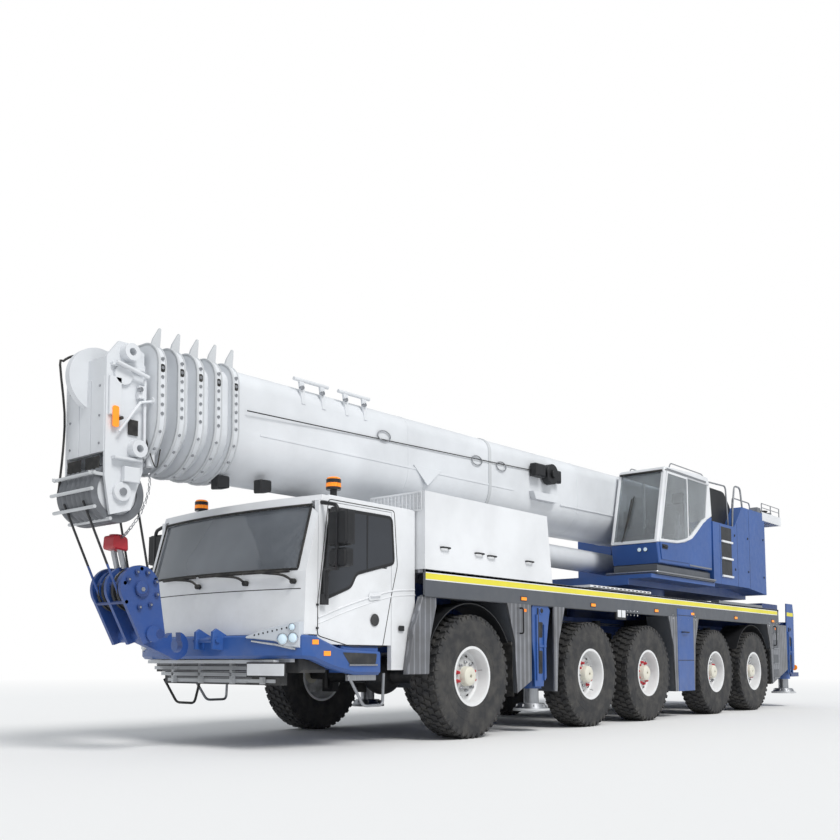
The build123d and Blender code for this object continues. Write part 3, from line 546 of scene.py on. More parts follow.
def joined(shapes):
    """Several shapes as one."""
    starts = np.cumsum([0] + [len(each[0]) for each in shapes[:-1]])
    return (np.concatenate([each[0] for each in shapes]), np.concatenate([each[1] for each in shapes]),
            np.concatenate([each[2] + start for each, start in zip(shapes, starts)]))


def one(shapes):
    """A list of shapes as one shape; a shape stays as it is."""
    return joined(shapes) if isinstance(shapes, list) else shapes


def copies(body, offsets):
    """The shape repeated at each offset, an (n, 3) array."""
    points, counts, corners = body
    offsets = np.asarray(offsets, float).reshape(-1, 3)
    shift = np.arange(len(offsets))[:, None] * len(points)
    return ((points[None] + offsets[:, None]).reshape(-1, 3), np.tile(counts, len(offsets)),
            (corners[None] + shift).ravel())


def moved(body, x=0.0, y=0.0, z=0.0):
    """The shape moved."""
    return body[0] + np.array([x, y, z]), body[1], body[2]


def mirrored(body):
    """The mirror image of a shape, or of a list of them, across the crane's middle plane; normals are
    put right in piece()."""
    points, counts, corners = one(body)
    return points * np.array([-1.0, 1.0, 1.0]), counts, corners


def both(body):
    """A shape, or a list of them, and its mirror image."""
    return joined([one(body), mirrored(body)])


def turned(body, degrees, axis, centre):
    """The shape turned about an axis (0, 1 or 2) through a centre, by the right-hand rule."""
    first, second = (axis + 1) % 3, (axis + 2) % 3
    cosine, sine = np.cos(radians(degrees)), np.sin(radians(degrees))
    points = body[0] - np.asarray(centre, float)
    out = points.copy()
    out[:, first] = cosine * points[:, first] - sine * points[:, second]
    out[:, second] = sine * points[:, first] + cosine * points[:, second]
    return out + np.asarray(centre, float), body[1], body[2]


def loft(rings, caps=True, closed=False):
    """Rings of equal point counts joined into a wall, capped at both ends or closed into a loop."""
    rings = np.asarray(rings, float)
    count, around = rings.shape[:2]
    here = np.arange(count * around).reshape(count, around)
    beside = np.roll(here, -1, axis=1)
    last = count if closed else count - 1
    above, above_beside = np.roll(here, -1, axis=0)[:last], np.roll(beside, -1, axis=0)[:last]
    walls = np.stack([here[:last], beside[:last], above_beside, above], -1).reshape(-1, 4)
    groups = [walls]
    if caps and not closed:
        groups += [here[:1, ::-1], here[-1:]]
    return shape(rings.reshape(-1, 3), *groups)


def anticlockwise(outline):
    """The outline, turned round if the area inside it, by the sum of its corners' products, is negative."""
    onward = np.roll(outline, -1, axis=0)
    area = np.sum(outline[:, 0] * onward[:, 1] - outline[:, 1] * onward[:, 0])
    return outline if area > 0 else outline[::-1]


def shrunk(outline, inset):
    """A closed outline moved inwards (anticlockwise outlines) by an inset, corner by corner: each corner
    goes along the sum of its two edges' inward normals, divided by one plus their product."""
    edge = np.roll(outline, -1, axis=0) - outline
    edge /= np.linalg.norm(edge, axis=1)[:, None]
    normal = np.stack([-edge[:, 1], edge[:, 0]], -1)
    before = np.roll(normal, 1, axis=0)
    return outline + inset * (normal + before) / (1 + np.sum(normal * before, axis=1))[:, None].clip(0.3)


def at_most(way, radius):
    """Each way cut to a length: the radius, or 0.45 of its own length where that is less."""
    length = np.linalg.norm(way, axis=-1)[..., None]
    return way / length * np.minimum(radius, 0.45 * length)


def quadratic(first, corner, last, share):
    """The quadratic curve from first to last that a corner draws towards itself."""
    return (1 - share) ** 2 * first + 2 * share * (1 - share) * corner + share ** 2 * last


def rounded(corners, radius, steps=4):
    """An outline with every corner turned into a quadratic curve that starts a radius before it."""
    corners = np.asarray(corners, float)
    back, front = np.roll(corners, 1, axis=0) - corners, np.roll(corners, -1, axis=0) - corners
    first, last = corners + at_most(back, radius), corners + at_most(front, radius)
    share = np.linspace(0, 1, steps + 1)[None, :, None]
    return quadratic(first[:, None], corners[:, None], last[:, None], share).reshape(-1, 2)


def plate(outline, start, end, axis=0, bevel=0.002):
    """A flat outline given thickness along an axis, its two rims bevelled. The outline's two numbers are
    the axes that follow: Y and Z for axis 0, X and Z for axis 1, X and Y for axis 2."""
    outline = anticlockwise(np.asarray(outline, float))
    low, high = min(start, end), max(start, end)
    bevel = min(bevel, (high - low) / 3)
    flat = shrunk(outline, bevel)
    others = [other for other in (0, 1, 2) if other != axis]
    rings = np.zeros((4, len(outline), 3))
    levels = ((low, flat), (low + bevel, outline), (high - bevel, outline), (high, flat))
    for ring, (level, edge) in zip(rings, levels):
        ring[:, axis] = level
        ring[:, others] = edge
    return loft(rings)


def bar(x_0, x_1, y_0, y_1, z_0, z_1, bevel=0.003):
    """A box with bevelled rims."""
    return plate([(y_0, z_0), (y_1, z_0), (y_1, z_1), (y_0, z_1)], x_0, x_1, 0, bevel)


def frames_along(path):
    """For points along a path: the tangent at each and two directions across it that turn as little as
    they can from one point to the next."""
    path = np.asarray(path, float)
    tangent = np.gradient(path, axis=0)
    tangent /= np.linalg.norm(tangent, axis=1)[:, None]
    side = np.cross(tangent[0], [0.0, 0.0, 1.0] if abs(tangent[0][2]) < 0.9 else [1.0, 0.0, 0.0])
    sides = []
    for way in tangent:
        side = side - way * np.dot(side, way)
        side = side / np.linalg.norm(side)
        sides.append(side)
    sides = np.array(sides)
    return tangent, sides, np.cross(tangent, sides)


def tube(path, radius, around=10, closed=False):
    """A round bar along a path. At each point the ring is the sum of cosine and sine of the angle times
    the two directions across the path, times the radius."""
    path = np.asarray(path, float)
    tangent, side, up = frames_along(path)
    angle = np.linspace(0, 2 * np.pi, around, endpoint=False)
    ring = (np.cos(angle)[None, :, None] * side[:, None] + np.sin(angle)[None, :, None] * up[:, None])
    radius = np.broadcast_to(np.asarray(radius, float), (len(path),))
    return loft(path[:, None] + ring * radius[:, None, None], closed=closed)


def smooth_path(points, steps=8):
    """A Catmull-Rom curve through the points."""
    points = np.asarray(points, float)
    padded = np.concatenate([2 * points[:1] - points[1:2], points, 2 * points[-1:] - points[-2:-1]])
    share = np.linspace(0, 1, steps, endpoint=False)[None, :, None]
    a, b, c, d = (padded[i:len(padded) - 3 + i][:, None] for i in range(4))
    curve = 0.5 * (2 * b + (c - a) * share + (2 * a - 5 * b + 4 * c - d) * share ** 2
                   + (3 * b - a - 3 * c + d) * share ** 3)
    return np.concatenate([curve.reshape(-1, 3), points[-1:]])


def bent(points, radius, steps=5):
    """A bar's path with its corners bent round: straight runs joined by quadratic curves."""
    points = np.asarray(points, float)
    out = [points[:1]]
    share = np.linspace(0, 1, steps + 1)[:, None]
    for before, corner, after in zip(points[:-2], points[1:-1], points[2:]):
        first, last = corner + at_most(before - corner, radius), corner + at_most(after - corner, radius)
        out.append(quadratic(first, corner, last, share))
    return np.concatenate(out + [points[-1:]])


def revolved(profile, centre, axis=0, around=32, hole=False):
    """A profile of (place along the axis, radius) turned about an axis through a centre: at angle a the
    two other coordinates are radius times cosine a and radius times sine a. With a hole, the profile is
    a loop round the axis, otherwise its two ends are capped."""
    profile = np.asarray(profile, float)
    angle = np.linspace(0, 2 * np.pi, around, endpoint=False)
    rings = np.zeros((len(profile), around, 3))
    first, second = (axis + 1) % 3, (axis + 2) % 3
    rings[:, :, axis] = profile[:, 0][:, None]
    rings[:, :, first] = profile[:, 1][:, None] * np.cos(angle)
    rings[:, :, second] = profile[:, 1][:, None] * np.sin(angle)
    return loft(rings + np.asarray(centre, float), closed=hole)


def disc(centre, radius, thick, axis=0, around=24, bevel=0.003):
    """A short round bar with bevelled rims, centred on a point."""
    half = thick / 2
    bevel = min(bevel, half / 2, radius / 3)
    profile = [(-half, radius - bevel), (-half + bevel, radius), (half - bevel, radius),
               (half, radius - bevel)]
    return revolved(profile, centre, axis, around)


def piece(name, body, finish, shapes, smooth=35):
    """One mesh object from shapes: normals set outwards, edges sharper than an angle kept hard, riding
    on a body of the solid model."""
    points, counts, corners = one(shapes)
    mesh = bpy.data.meshes.new(name)
    mesh.vertices.add(len(points))
    mesh.vertices.foreach_set("co", points.ravel())
    mesh.loops.add(len(corners))
    mesh.loops.foreach_set("vertex_index", corners.astype(np.int32))
    mesh.polygons.add(len(counts))
    mesh.polygons.foreach_set("loop_start", np.concatenate([[0], np.cumsum(counts)[:-1]]).astype(np.int32))
    mesh.update(calc_edges=True)
    mesh.validate()
    shell = bmesh.new()
    shell.from_mesh(mesh)
    bmesh.ops.recalc_face_normals(shell, faces=shell.faces)
    shell.to_mesh(mesh)
    shell.free()
    mesh.shade_smooth()
    mesh.set_sharp_from_angle(angle=radians(smooth))
    mesh.materials.append(finish)
    made = bpy.data.objects.new(name, mesh)
    bpy.context.scene.collection.objects.link(made)
    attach(made, body)
    return made


AXLE_Y = (-3.325, -0.725, 0.925, 3.325, 4.975)
AXLE_1 = AXLE_Y[0]
SLEW_Y = 2.475
SIDES = (("left", 1.0, one), ("right", -1.0, mirrored))
print("shape helpers ready")

# %% [markdown]
# A tyre is moulded rubber over steel cords: a carcass that bulges at the sides and carries a band of
# thick tread blocks. Here the carcass is one profile turned about the axle, and the tread is one pitch
# of four blocks, cut square and staggered, repeated around the wheel. That is how the mould is made
# too: one pitch, engraved again and again.

# %% Tyres
TYRE_RADIUS = 0.685
TREAD_DEEP = 0.021
TREAD_PITCHES = 44
BLOCK_DRAFT = 0.12
WHEEL_X = 1.1875
RIM_RADIUS = 0.318

carcass = np.array([(-0.150, RIM_RADIUS + 0.001), (-0.166, 0.326), (-0.172, 0.345), (-0.176, 0.372),
                    (-0.178, 0.378), (-0.184, 0.430), (-0.187, 0.486), (-0.1875, 0.500), (-0.1855, 0.503),
                    (-0.186, 0.540), (-0.182, 0.590), (-0.176, 0.628), (-0.170, 0.646),
                    (-0.160, TYRE_RADIUS - TREAD_DEEP), (0, TYRE_RADIUS - TREAD_DEEP + 0.004)])
carcass = np.concatenate([carcass, (carcass * [-1, 1])[-2::-1]])


def tread_block(x_0, x_1, angle, sweep, skew, foot, top):
    """One tread block: its four foot corners and four narrower top corners, wrapped onto the wheel.
    A point at radius r and angle a lies at y = r sin a, z = -r cos a."""
    low = np.array([(x_0, 0), (x_1, 0), (x_1, 1), (x_0, 1)], float)
    inward = BLOCK_DRAFT * np.array([(1, 1), (-1, 1), (-1, -1), (1, -1)])
    high = low + inward * [(x_1 - x_0) / 3, 1]
    rings = []
    for level, radius in ((low, foot), (high, top)):
        turn = angle + sweep * level[:, 1] + skew * (level[:, 0] - (x_0 + x_1) / 2)
        rings.append(np.stack([level[:, 0], radius * np.sin(turn), -radius * np.cos(turn)], -1))
    return loft(rings)


def tyre_shape():
    """The whole tyre about its own centre, outer side towards +X."""
    pitch = 2 * np.pi / TREAD_PITCHES
    foot, top = TYRE_RADIUS - TREAD_DEEP - 0.006, TYRE_RADIUS
    parts = [revolved(carcass, (0, 0, 0), 0, 96, hole=True)]
    rows = ((0.006, 0.080, 0.0, 0.72, 0.25), (0.090, 0.158, 0.36, 0.66, -0.2),
            (-0.080, -0.006, 0.5, 0.72, 0.25), (-0.158, -0.090, 0.86, 0.66, -0.2))
    for step in range(TREAD_PITCHES):
        for x_0, x_1, phase, cover, skew in rows:
            parts.append(tread_block(x_0, x_1, (step + phase) * pitch, pitch * cover, skew * 1.6, foot, top))
        for end in (-1, 1):
            # A shoulder bar runs from the tread down the sidewall
            low, high = sorted((end * 0.156, end * 0.181))
            shoulder = bar(low, high, -0.022, 0.022, -0.672, -0.622, 0.004)
            parts.append(turned(shoulder, step * 360 / TREAD_PITCHES + (4 if end > 0 else 0), 0, (0, 0, 0)))
    for end in (-1, 1):
        ridge = [(end * 0.178, 0.392), (end * 0.1815, 0.394), (end * 0.183, 0.402), (end * 0.181, 0.404)]
        parts.append(revolved(ridge, (0, 0, 0), 0, 72, hole=True))
    return joined(parts)


tyre = tyre_shape()
for number, y in enumerate(AXLE_Y, 1):
    for side, sign, flip in SIDES:
        phase = turned(tyre, 37.0 * number + (11 if sign < 0 else 0), 0, (0, 0, 0))
        made = piece(f"tyre_tread_{number}_{side}", f"wheel_{number}_{side}", TYRE,
                     moved(phase, sign * WHEEL_X, y, TYRE_RADIUS), 28)
        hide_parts(f"tyre_{number}_{side}")
print("tyres with", TREAD_PITCHES * 4, "tread blocks each,", len(tyre[1]), "faces")

# %% [markdown]
# Wheel nuts hold the rim to the hub, and a truck wears plastic caps over them. Axle 3 has its whole
# ring capped in red, the others only pairs of caps. Each wheel also has a valve, dark discs in its hand
# holes as painted shade, and a hub cap that is cream by its finish alone.

# %% Wheel nuts, caps and valves
NUT_CIRCLE = 0.155
NUT_COUNT = 10
DISC_FACE = 0.062

RIM_PROFILE = np.array([(0.162, 0.300), (0.170, 0.304), (0.1705, 0.332), (0.166, 0.334), (0.163, 0.3185),
                        (0.150, 0.3175), (-0.150, 0.3175), (-0.163, 0.3185), (-0.166, 0.334),
                        (-0.1705, 0.332), (-0.170, 0.304), (-0.060, 0.290), (-0.02, 0.250), (0.020, 0.225),
                        (0.030, 0.10), (0.030, 0.02), (0.150, 0.02), (0.158, 0.05), (0.152, 0.085),
                        (0.138, 0.103), (0.118, 0.108), (0.070, 0.110), (0.062, 0.120), (DISC_FACE, 0.185),
                        (0.050, 0.205), (0.018, 0.232), (0.010, 0.262), (0.030, 0.288), (0.120, 0.296)])
rim_body = revolved(RIM_PROFILE, (0, 0, 0), 0, 64, hole=True)


def rim_finish(number, y):
    """White paint on the rim, painted shade in its deep well, broken into patches by noise, and cream on
    the hub cap, told apart by the distance from the axle's line."""
    net = Network(f"rim_finish_{number}")
    split = net.add("ShaderNodeSeparateXYZ")
    net.wire(net.place, "Object", split, "Vector")
    along = net.math("SUBTRACT", (split, "Y"), y)
    above = net.math("SUBTRACT", (split, "Z"), TYRE_RADIUS)
    along = net.math("MULTIPLY", (along, 0), (along, 0))
    above = net.math("MULTIPLY", (above, 0), (above, 0))
    away = net.math("SQRT", (net.math("ADD", (along, 0), (above, 0)), 0))
    cap = net.math("LESS_THAN", (away, 0), 0.112)
    # The grey in the rim's deep well is painted shade, broken into patches by noise.
    well = net.ramp(away, 0, 0.21, 0.30, 0.9, 0.1)
    patches = net.ramp(net.noise(9.0, 5.0, 0.6), "Fac", 0.35, 0.7, 0.2, 0.9)
    well_shade = net.math("MULTIPLY", (well, "Result"), (patches, "Result"))
    body = net.mix((well_shade, 0), colour(232, 233, 234), colour(128, 127, 124))
    body = net.mix((cap, 0), (body, "Result"), colour(222, 219, 205))
    net.feed(body, "Result", "Base Color")
    net.feed(net.ramp(net.noise(14.0, 3.0), "Fac", 0.3, 0.7, 0.3, 0.5), "Result", "Roughness")
    net.bump(net.noise(180.0, 2.0), "Fac", 0.0004, 0.3)
    return net.material


nut = joined([revolved([(0, 0.019), (0.020, 0.019), (0.024, 0.015)], (0, 0, 0), 0, 6),
              revolved([(0.020, 0.011), (0.040, 0.011), (0.042, 0.009)], (0, 0, 0), 0, 12)])
nut_cap = revolved([(0, 0.024), (0.004, 0.024), (0.008, 0.019), (0.034, 0.017), (0.042, 0.012),
                    (0.045, 0.004)], (0, 0, 0), 0, 14)
for number, y in enumerate(AXLE_Y, 1):
    finish = rim_finish(number, y)
    for side, sign, flip in SIDES:
        wheel, face = f"wheel_{number}_{side}", sign * (WHEEL_X + DISC_FACE)
        made = piece(f"rim_body_{number}_{side}", wheel, finish,
                     moved(flip(rim_body), sign * WHEEL_X, y, TYRE_RADIUS), 30)
        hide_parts(f"rim_{number}_{side}")
        # Dark discs painted as the shade seen through the rim's hand holes
        hole_angle = 2 * np.pi * np.arange(NUT_COUNT) / NUT_COUNT + number * 0.9
        hole_shades = copies(disc((sign * (WHEEL_X + 0.0335), y, TYRE_RADIUS), 0.019, 0.012, 0, 14),
                       np.column_stack([0 * hole_angle, 0.222 * np.sin(hole_angle),
                                        0.222 * np.cos(hole_angle)]))
        piece(f"hand_hole_shades_{number}_{side}", wheel, SEAL, hole_shades)
        steel_parts, red_parts = [], []
        for place in range(NUT_COUNT):
            angle = 2 * np.pi * (place + 0.5) / NUT_COUNT + number * 0.9
            at = (face, y + NUT_CIRCLE * np.sin(angle), TYRE_RADIUS + NUT_CIRCLE * np.cos(angle))
            capped = number == 3 or place in (0, 1, 5, 6)
            (red_parts if capped else steel_parts).append(moved(flip(nut_cap if capped else nut), *at))
        valve_angle = number * 1.3
        valve = [(face + sign * 0.01, y + 0.235 * np.sin(valve_angle),
                  TYRE_RADIUS + 0.235 * np.cos(valve_angle)),
                 (face + sign * 0.06, y + 0.252 * np.sin(valve_angle),
                  TYRE_RADIUS + 0.252 * np.cos(valve_angle))]
        steel_parts.append(tube(valve, 0.005, 8))
        piece(f"wheel_nuts_{number}_{side}", wheel, STEEL, steel_parts)
        piece(f"nut_caps_{number}_{side}", wheel, RED, red_parts)
print("nuts and caps on", 2 * len(AXLE_Y), "wheels")

# %% [markdown]
# The cab's front is bowed in plan and leans back above the sill. Everything on it follows one
# function that gives the surface's place for any X and height, so seal, wipers and seams sit on the
# sheet metal and not near it.

# %% Windscreen seal, wipers and front panel
CAB_HALF = 1.25
CAB_STATIONS = ((1.10, 2.46, 0.17), (1.69, 2.44, 0.17), (2.44, 2.24, 0.119))


def cab_front(x, z):
    """Y of the cab's front: the reach and the bulge are read off the stations by height, and the front
    is the arc with that bulge over the cab's width."""
    heights, reach, bulge = (np.array(column) for column in zip(*CAB_STATIONS))
    ahead, bow = np.interp(z, heights, reach), np.interp(z, heights, bulge)
    round_radius = (CAB_HALF ** 2 + bow ** 2) / (2 * bow)
    return AXLE_1 - ahead - bow + round_radius - np.sqrt(round_radius ** 2 - np.square(x))


def on_front(x, z, proud=0.0):
    """Points on the cab's front, moved out by a little."""
    x, z = np.broadcast_arrays(np.asarray(x, float), np.asarray(z, float))
    return np.stack([x, cab_front(x, z) - proud, z], -1)


def front_band(places, low, high, proud=0.012, back=0.02, surface=cab_front, edge=0.005):
    """A strip laid on a bowed front: at each place across it a bevelled section from low to high."""
    places = np.asarray(places, float)
    low, high = np.broadcast_to(low, places.shape), np.broadcast_to(high, places.shape)
    section = [(low + edge, proud), (high - edge, proud), (high, proud - edge), (high, -back), (low, -back),
               (low, proud - edge)]
    rings = [np.stack([places, surface(places, level) - out, level], -1) for level, out in section]
    return loft(np.stack(rings, 1))


across = np.linspace(-1.155, 1.155, 25)
edge_up = np.linspace(1.73, 2.325, 9)
seal_path = np.concatenate([on_front(across, 1.712), on_front(1.155, edge_up), on_front(across[::-1], 2.345),
                            on_front(-1.155, edge_up[::-1])])
piece("windscreen_seal", "carrier", SEAL, tube(seal_path, 0.013, 8, closed=True))
wiper_parts = []
for foot_x, reach in ((-0.11, 0.62), (0.58, 0.62), (1.14, 0.54)):
    arm = on_front([foot_x, foot_x - 0.10, foot_x - 0.62 * reach], [1.595, 1.655, 1.685], [0.03, 0.055, 0.05])
    wiper_parts += [tube(smooth_path(arm, 6), 0.012, 8), disc(arm[0], 0.026, 0.05, 1, 16)]
    blade_x = np.linspace(foot_x - reach - 0.04, foot_x - 0.04, 9)
    wiper_parts.append(tube(on_front(blade_x, 1.690, 0.040), 0.015, 6))
piece("wipers", "carrier", SEAL, wiper_parts)
panel_x = np.linspace(-1.20, 1.20, 25)
piece("front_seams", "carrier", SEAL, front_band(panel_x, 1.522, 1.530, 0.0015, 0.006, edge=0.0004))
print("windscreen seal, wipers and seams made")

# %% [markdown]
# The bumper carries the headlamps: a silver wedge over each corner with three round lamps, a row of
# small dark ones above them and a bright strip below. A fine mesh closes the air inlet in the middle,
# and the blank registration plate hangs beside it.

# %% Lamps, strip and plate
BUMPER_HALF = 1.29
BUMPER_FRONT, BUMPER_CORNER = 2.75, 2.48


def bumper_face(x, z):
    """Y of the bumper's front: one arc from corner to corner, the same at every height z, which is
    asked for so that this can stand in for cab_front."""
    bow = BUMPER_FRONT - BUMPER_CORNER
    round_radius = (BUMPER_HALF ** 2 + bow ** 2) / (2 * bow)
    return AXLE_1 - BUMPER_FRONT + round_radius - np.sqrt(round_radius ** 2 - np.square(x))


LAMP_CASE = painted("lamp_case", colour(204, 210, 218), 0.12, 0.1, 0.8)
for side, sign, flip in SIDES:
    lamp_x = np.linspace(0.70, 1.245, 14)
    lamp_low = np.interp(lamp_x, [0.70, 0.78, 1.02, 1.10, 1.245], [1.065, 1.06, 1.035, 0.985, 0.975])
    lamp_high = np.interp(lamp_x, [0.70, 0.95, 1.245], [1.085, 1.16, 1.215])
    housing = front_band(lamp_x, lamp_low, lamp_high, 0.020, 0.10, bumper_face, 0.010)
    piece(f"headlamp_housing_{side}", "carrier", LAMP_CASE, flip(housing))
    bowls, lenses = [], []
    for lamp_at, height, radius in ((1.185, 1.165, 0.032), (1.095, 1.055, 0.050), (1.195, 1.065, 0.046)):
        centre = (lamp_at, bumper_face(lamp_at, height) - 0.020, height)
        rim = [(0.004, radius * 1.12), (-0.012, radius * 1.12), (-0.014, radius * 1.02), (-0.004, radius)]
        dome = [(0.0, radius), (-0.006, radius * 0.97), (-0.014, radius * 0.75), (-0.019, radius * 0.4),
                (-0.020, radius * 0.05)]
        slope = 22 * lamp_at / 1.2
        bowls.append(turned(revolved(rim, centre, 1, 28), slope, 2, centre))
        lenses.append(turned(revolved(dome, centre, 1, 28), slope, 2, centre))
    strip_x = np.linspace(0.76, 1.21, 16)
    strip_low = np.interp(strip_x, [0.76, 1.0, 1.21], [1.030, 0.995, 0.950])
    strip_high = np.interp(strip_x, [0.76, 1.0, 1.21], [1.046, 1.015, 0.972])
    chrome = front_band(strip_x, strip_low, strip_high, 0.016, 0.05, bumper_face, 0.003)
    beads = [disc((x, bumper_face(x, 1.0) - 0.021, z), 0.009, 0.006, 1, 10, 0.002)
             for x, z in zip(np.linspace(0.80, 1.13, 8), np.linspace(1.093, 1.158, 8))]
    piece(f"headlamp_rings_{side}", "carrier", CHROME, flip(bowls + [chrome]))
    piece(f"headlamp_lenses_{side}", "carrier", HEADLIGHT, flip(lenses))
    piece(f"day_lamps_{side}", "carrier", PLASTIC, flip(beads))
plate_y = bumper_face(0.35, 0.66) + 0.10
piece("front_plate", "carrier", WHITE, bar(0.66, 1.18, plate_y - 0.006, plate_y, 0.715, 0.825, 0.002))
plate_rim = [bar(0.645, 1.195, plate_y, plate_y + 0.012, 0.700, 0.840, 0.004)]
plate_rim += [bar(x, x + 0.04, plate_y + 0.004, plate_y + 0.09, 0.76, 0.80, 0.004) for x in (0.74, 1.06)]
piece("front_plate_rim", "carrier", PLASTIC, plate_rim)
mesh_lines = []
for row in range(14):
    half, low = 0.95 - 0.03 * row, 0.842 - row * 0.0155
    mesh_lines.append(bar(-half, half, AXLE_1 - 2.575, AXLE_1 - 2.560, low, low + 0.004, 0.001))
piece("inlet_mesh", "carrier", STEEL, mesh_lines)
print("front lamps, plate and inlet made")

# %% [markdown]
# The cab's sides: dark opaque glass as painted shade of the cab's inside, in a black frame with a notched
# lower edge, a recessed handle, mirrors, marker lamps, and the blank disc where a maker would print a sign.

# %% Side glass, handles and markers
# The door glass is opaque and dark: painted shade of the cab's inside behind it.
SHADED_DOOR_GLASS = window("door_glass", colour(46, 49, 55), 0.0, 0.6)


def from_axle(points):
    """Places given from the first axle along Y, and heights."""
    return [(AXLE_1 + y, z) for y, z in points]


def side_plate(outline, inner, outer, bevel=0.002):
    """A plate on the left side, between two distances from the middle plane."""
    return plate(outline, inner, outer, 0, bevel)


def ring_plate(outline, width, inner, outer):
    """A flat frame that follows an outline: outside it by a width and inside it by the same."""
    outline = anticlockwise(rounded(outline, 0.05))
    outside, inside = shrunk(outline, -width), shrunk(outline, width)
    rings = []
    for edge, level in ((outside, inner), (outside, outer - 0.003), (shrunk(outline, -width * 0.7), outer),
                        (shrunk(outline, width * 0.7), outer), (inside, outer - 0.003), (inside, inner)):
        rings.append(np.column_stack([np.full(len(edge), level), edge]))
    return loft(rings, closed=True)


DOOR_WINDOW = from_axle([(-2.250, 1.420), (-1.845, 1.575), (-1.770, 1.710), (-1.210, 1.855), (-1.245, 2.325),
                         (-2.125, 2.325)])
for side, sign, flip in SIDES:
    door = f"door_{side}"
    piece(f"door_glass_{side}", door, SHADED_DOOR_GLASS, flip(side_plate(rounded(DOOR_WINDOW, 0.05), 1.2505, 1.2565,
        0.001)))
    piece(f"door_window_frame_{side}", door, PLASTIC, flip(ring_plate(DOOR_WINDOW, 0.016, 1.2505, 1.2595)))
    quarter = from_axle([(-1.62, 1.745), (-1.605, 1.745), (-1.60, 2.325), (-1.625, 2.325)])
    piece(f"window_bar_{side}", door, PLASTIC, flip(side_plate(quarter, 1.256, 1.2585)))
    door_edge = rounded(from_axle([(-2.155, 2.405), (-2.285, 1.42), (-2.285, 1.09), (-1.82, 0.99),
                                   (-1.375, 0.99), (-1.245, 1.51), (-1.15, 1.83), (-1.20, 2.405)]), 0.04)
    gap_line = tube(np.column_stack([np.full(len(door_edge), 1.2503), door_edge]), 0.0045, 6, closed=True)
    piece(f"door_gap_{side}", "carrier", SEAL, flip(gap_line))
    crease = from_axle([(-2.28, 1.26), (-1.83, 1.41), (-1.27, 1.56), (-0.875, 1.60)])
    crease = smooth_path([(CAB_HALF, y, z) for y, z in crease], 6)
    creases = [tube(crease, 0.010, 8), tube(crease + [0, 0.01, -0.055], 0.006, 8)]
    piece(f"belt_crease_{side}", "carrier", WHITE, flip(creases))
    handle_y, handle_z = AXLE_1 - 1.50, 1.50
    cup = [(handle_y - 0.09, handle_z - 0.05), (handle_y + 0.09, handle_z - 0.03),
           (handle_y + 0.09, handle_z + 0.045), (handle_y - 0.09, handle_z + 0.03)]
    cup = side_plate(rounded(cup, 0.03), 1.2595, 1.2635)
    grip = tube(bent([(1.262, handle_y - 0.07, handle_z - 0.004), (1.282, handle_y - 0.065, handle_z),
                      (1.282, handle_y + 0.065, handle_z + 0.012),
                      (1.262, handle_y + 0.07, handle_z + 0.012)], 0.015), 0.008, 8)
    piece(f"door_handle_{side}", door, WHITE, flip([cup, grip]))
    piece(f"door_disc_{side}", door, BLACK, flip(disc((1.2608, AXLE_1 - 1.50, 1.262), 0.062, 0.004, 0, 36)))
    hinge_bits = [disc((1.258, AXLE_1 - 2.296, height), 0.014, 0.02, 2, 12) for height in (1.16, 1.38)]
    piece(f"door_hinge_covers_{side}", door, PLASTIC, flip(hinge_bits))
    # Mirror glass faces back; its shell is black plastic
    mirror_x, mirror_y = CAB_HALF + 0.20, AXLE_1 - 2.23
    faces, shells = [], []
    for low, high, half in ((1.935, 2.275, 0.135), (1.730, 1.910, 0.125)):
        for parts, inset, radius, start, end, bevel in ((faces, 0.024, 0.03, 0.095, 0.1015, 0.001),
                                                        (shells, 0, 0.05, -0.012, 0.098, 0.022)):
            left, right = mirror_x - half + inset, mirror_x + half - inset
            foot, top = low + inset, high - inset
            edge = rounded([(left, foot), (right, foot), (right, top), (left, top)], radius)
            parts.append(plate(edge, mirror_y + start, mirror_y + end, 1, bevel))
    piece(f"mirror_glass_{side}", door, CHROME, flip(faces))
    shells.append(tube(bent([(1.246, mirror_y, 1.43), (1.31, mirror_y, 1.43), (1.31, mirror_y, 1.70),
                             (mirror_x, mirror_y, 1.76), (mirror_x, mirror_y, 2.32),
                             (1.246, mirror_y - 0.02, 2.36)], 0.06), 0.019, 10))
    piece(f"mirror_shells_{side}", door, PLASTIC, flip(shells))
    mark = from_axle([(-1.14, 1.160), (-1.06, 1.160), (-1.06, 1.215), (-1.14, 1.215)])
    piece(f"cab_side_mark_{side}", "carrier", PLASTIC, flip(side_plate(rounded(mark, 0.012), 1.259, 1.272)))
    marks = [bar(1.286, 1.297, AXLE_1 - 2.39, AXLE_1 - 2.31, 1.005, 1.05),
             bar(1.286, 1.297, AXLE_1 - 2.24, AXLE_1 - 2.15, 0.90, 0.945)]
    piece(f"cab_markers_{side}", "carrier", AMBER, flip(marks))
print("door glass, frames, handles and markers made")

# %% [markdown]
# On the cab's roof: a gutter line, the hatch, and the amber beacons' lenses. Behind it a white grid
# guards the housing's front.

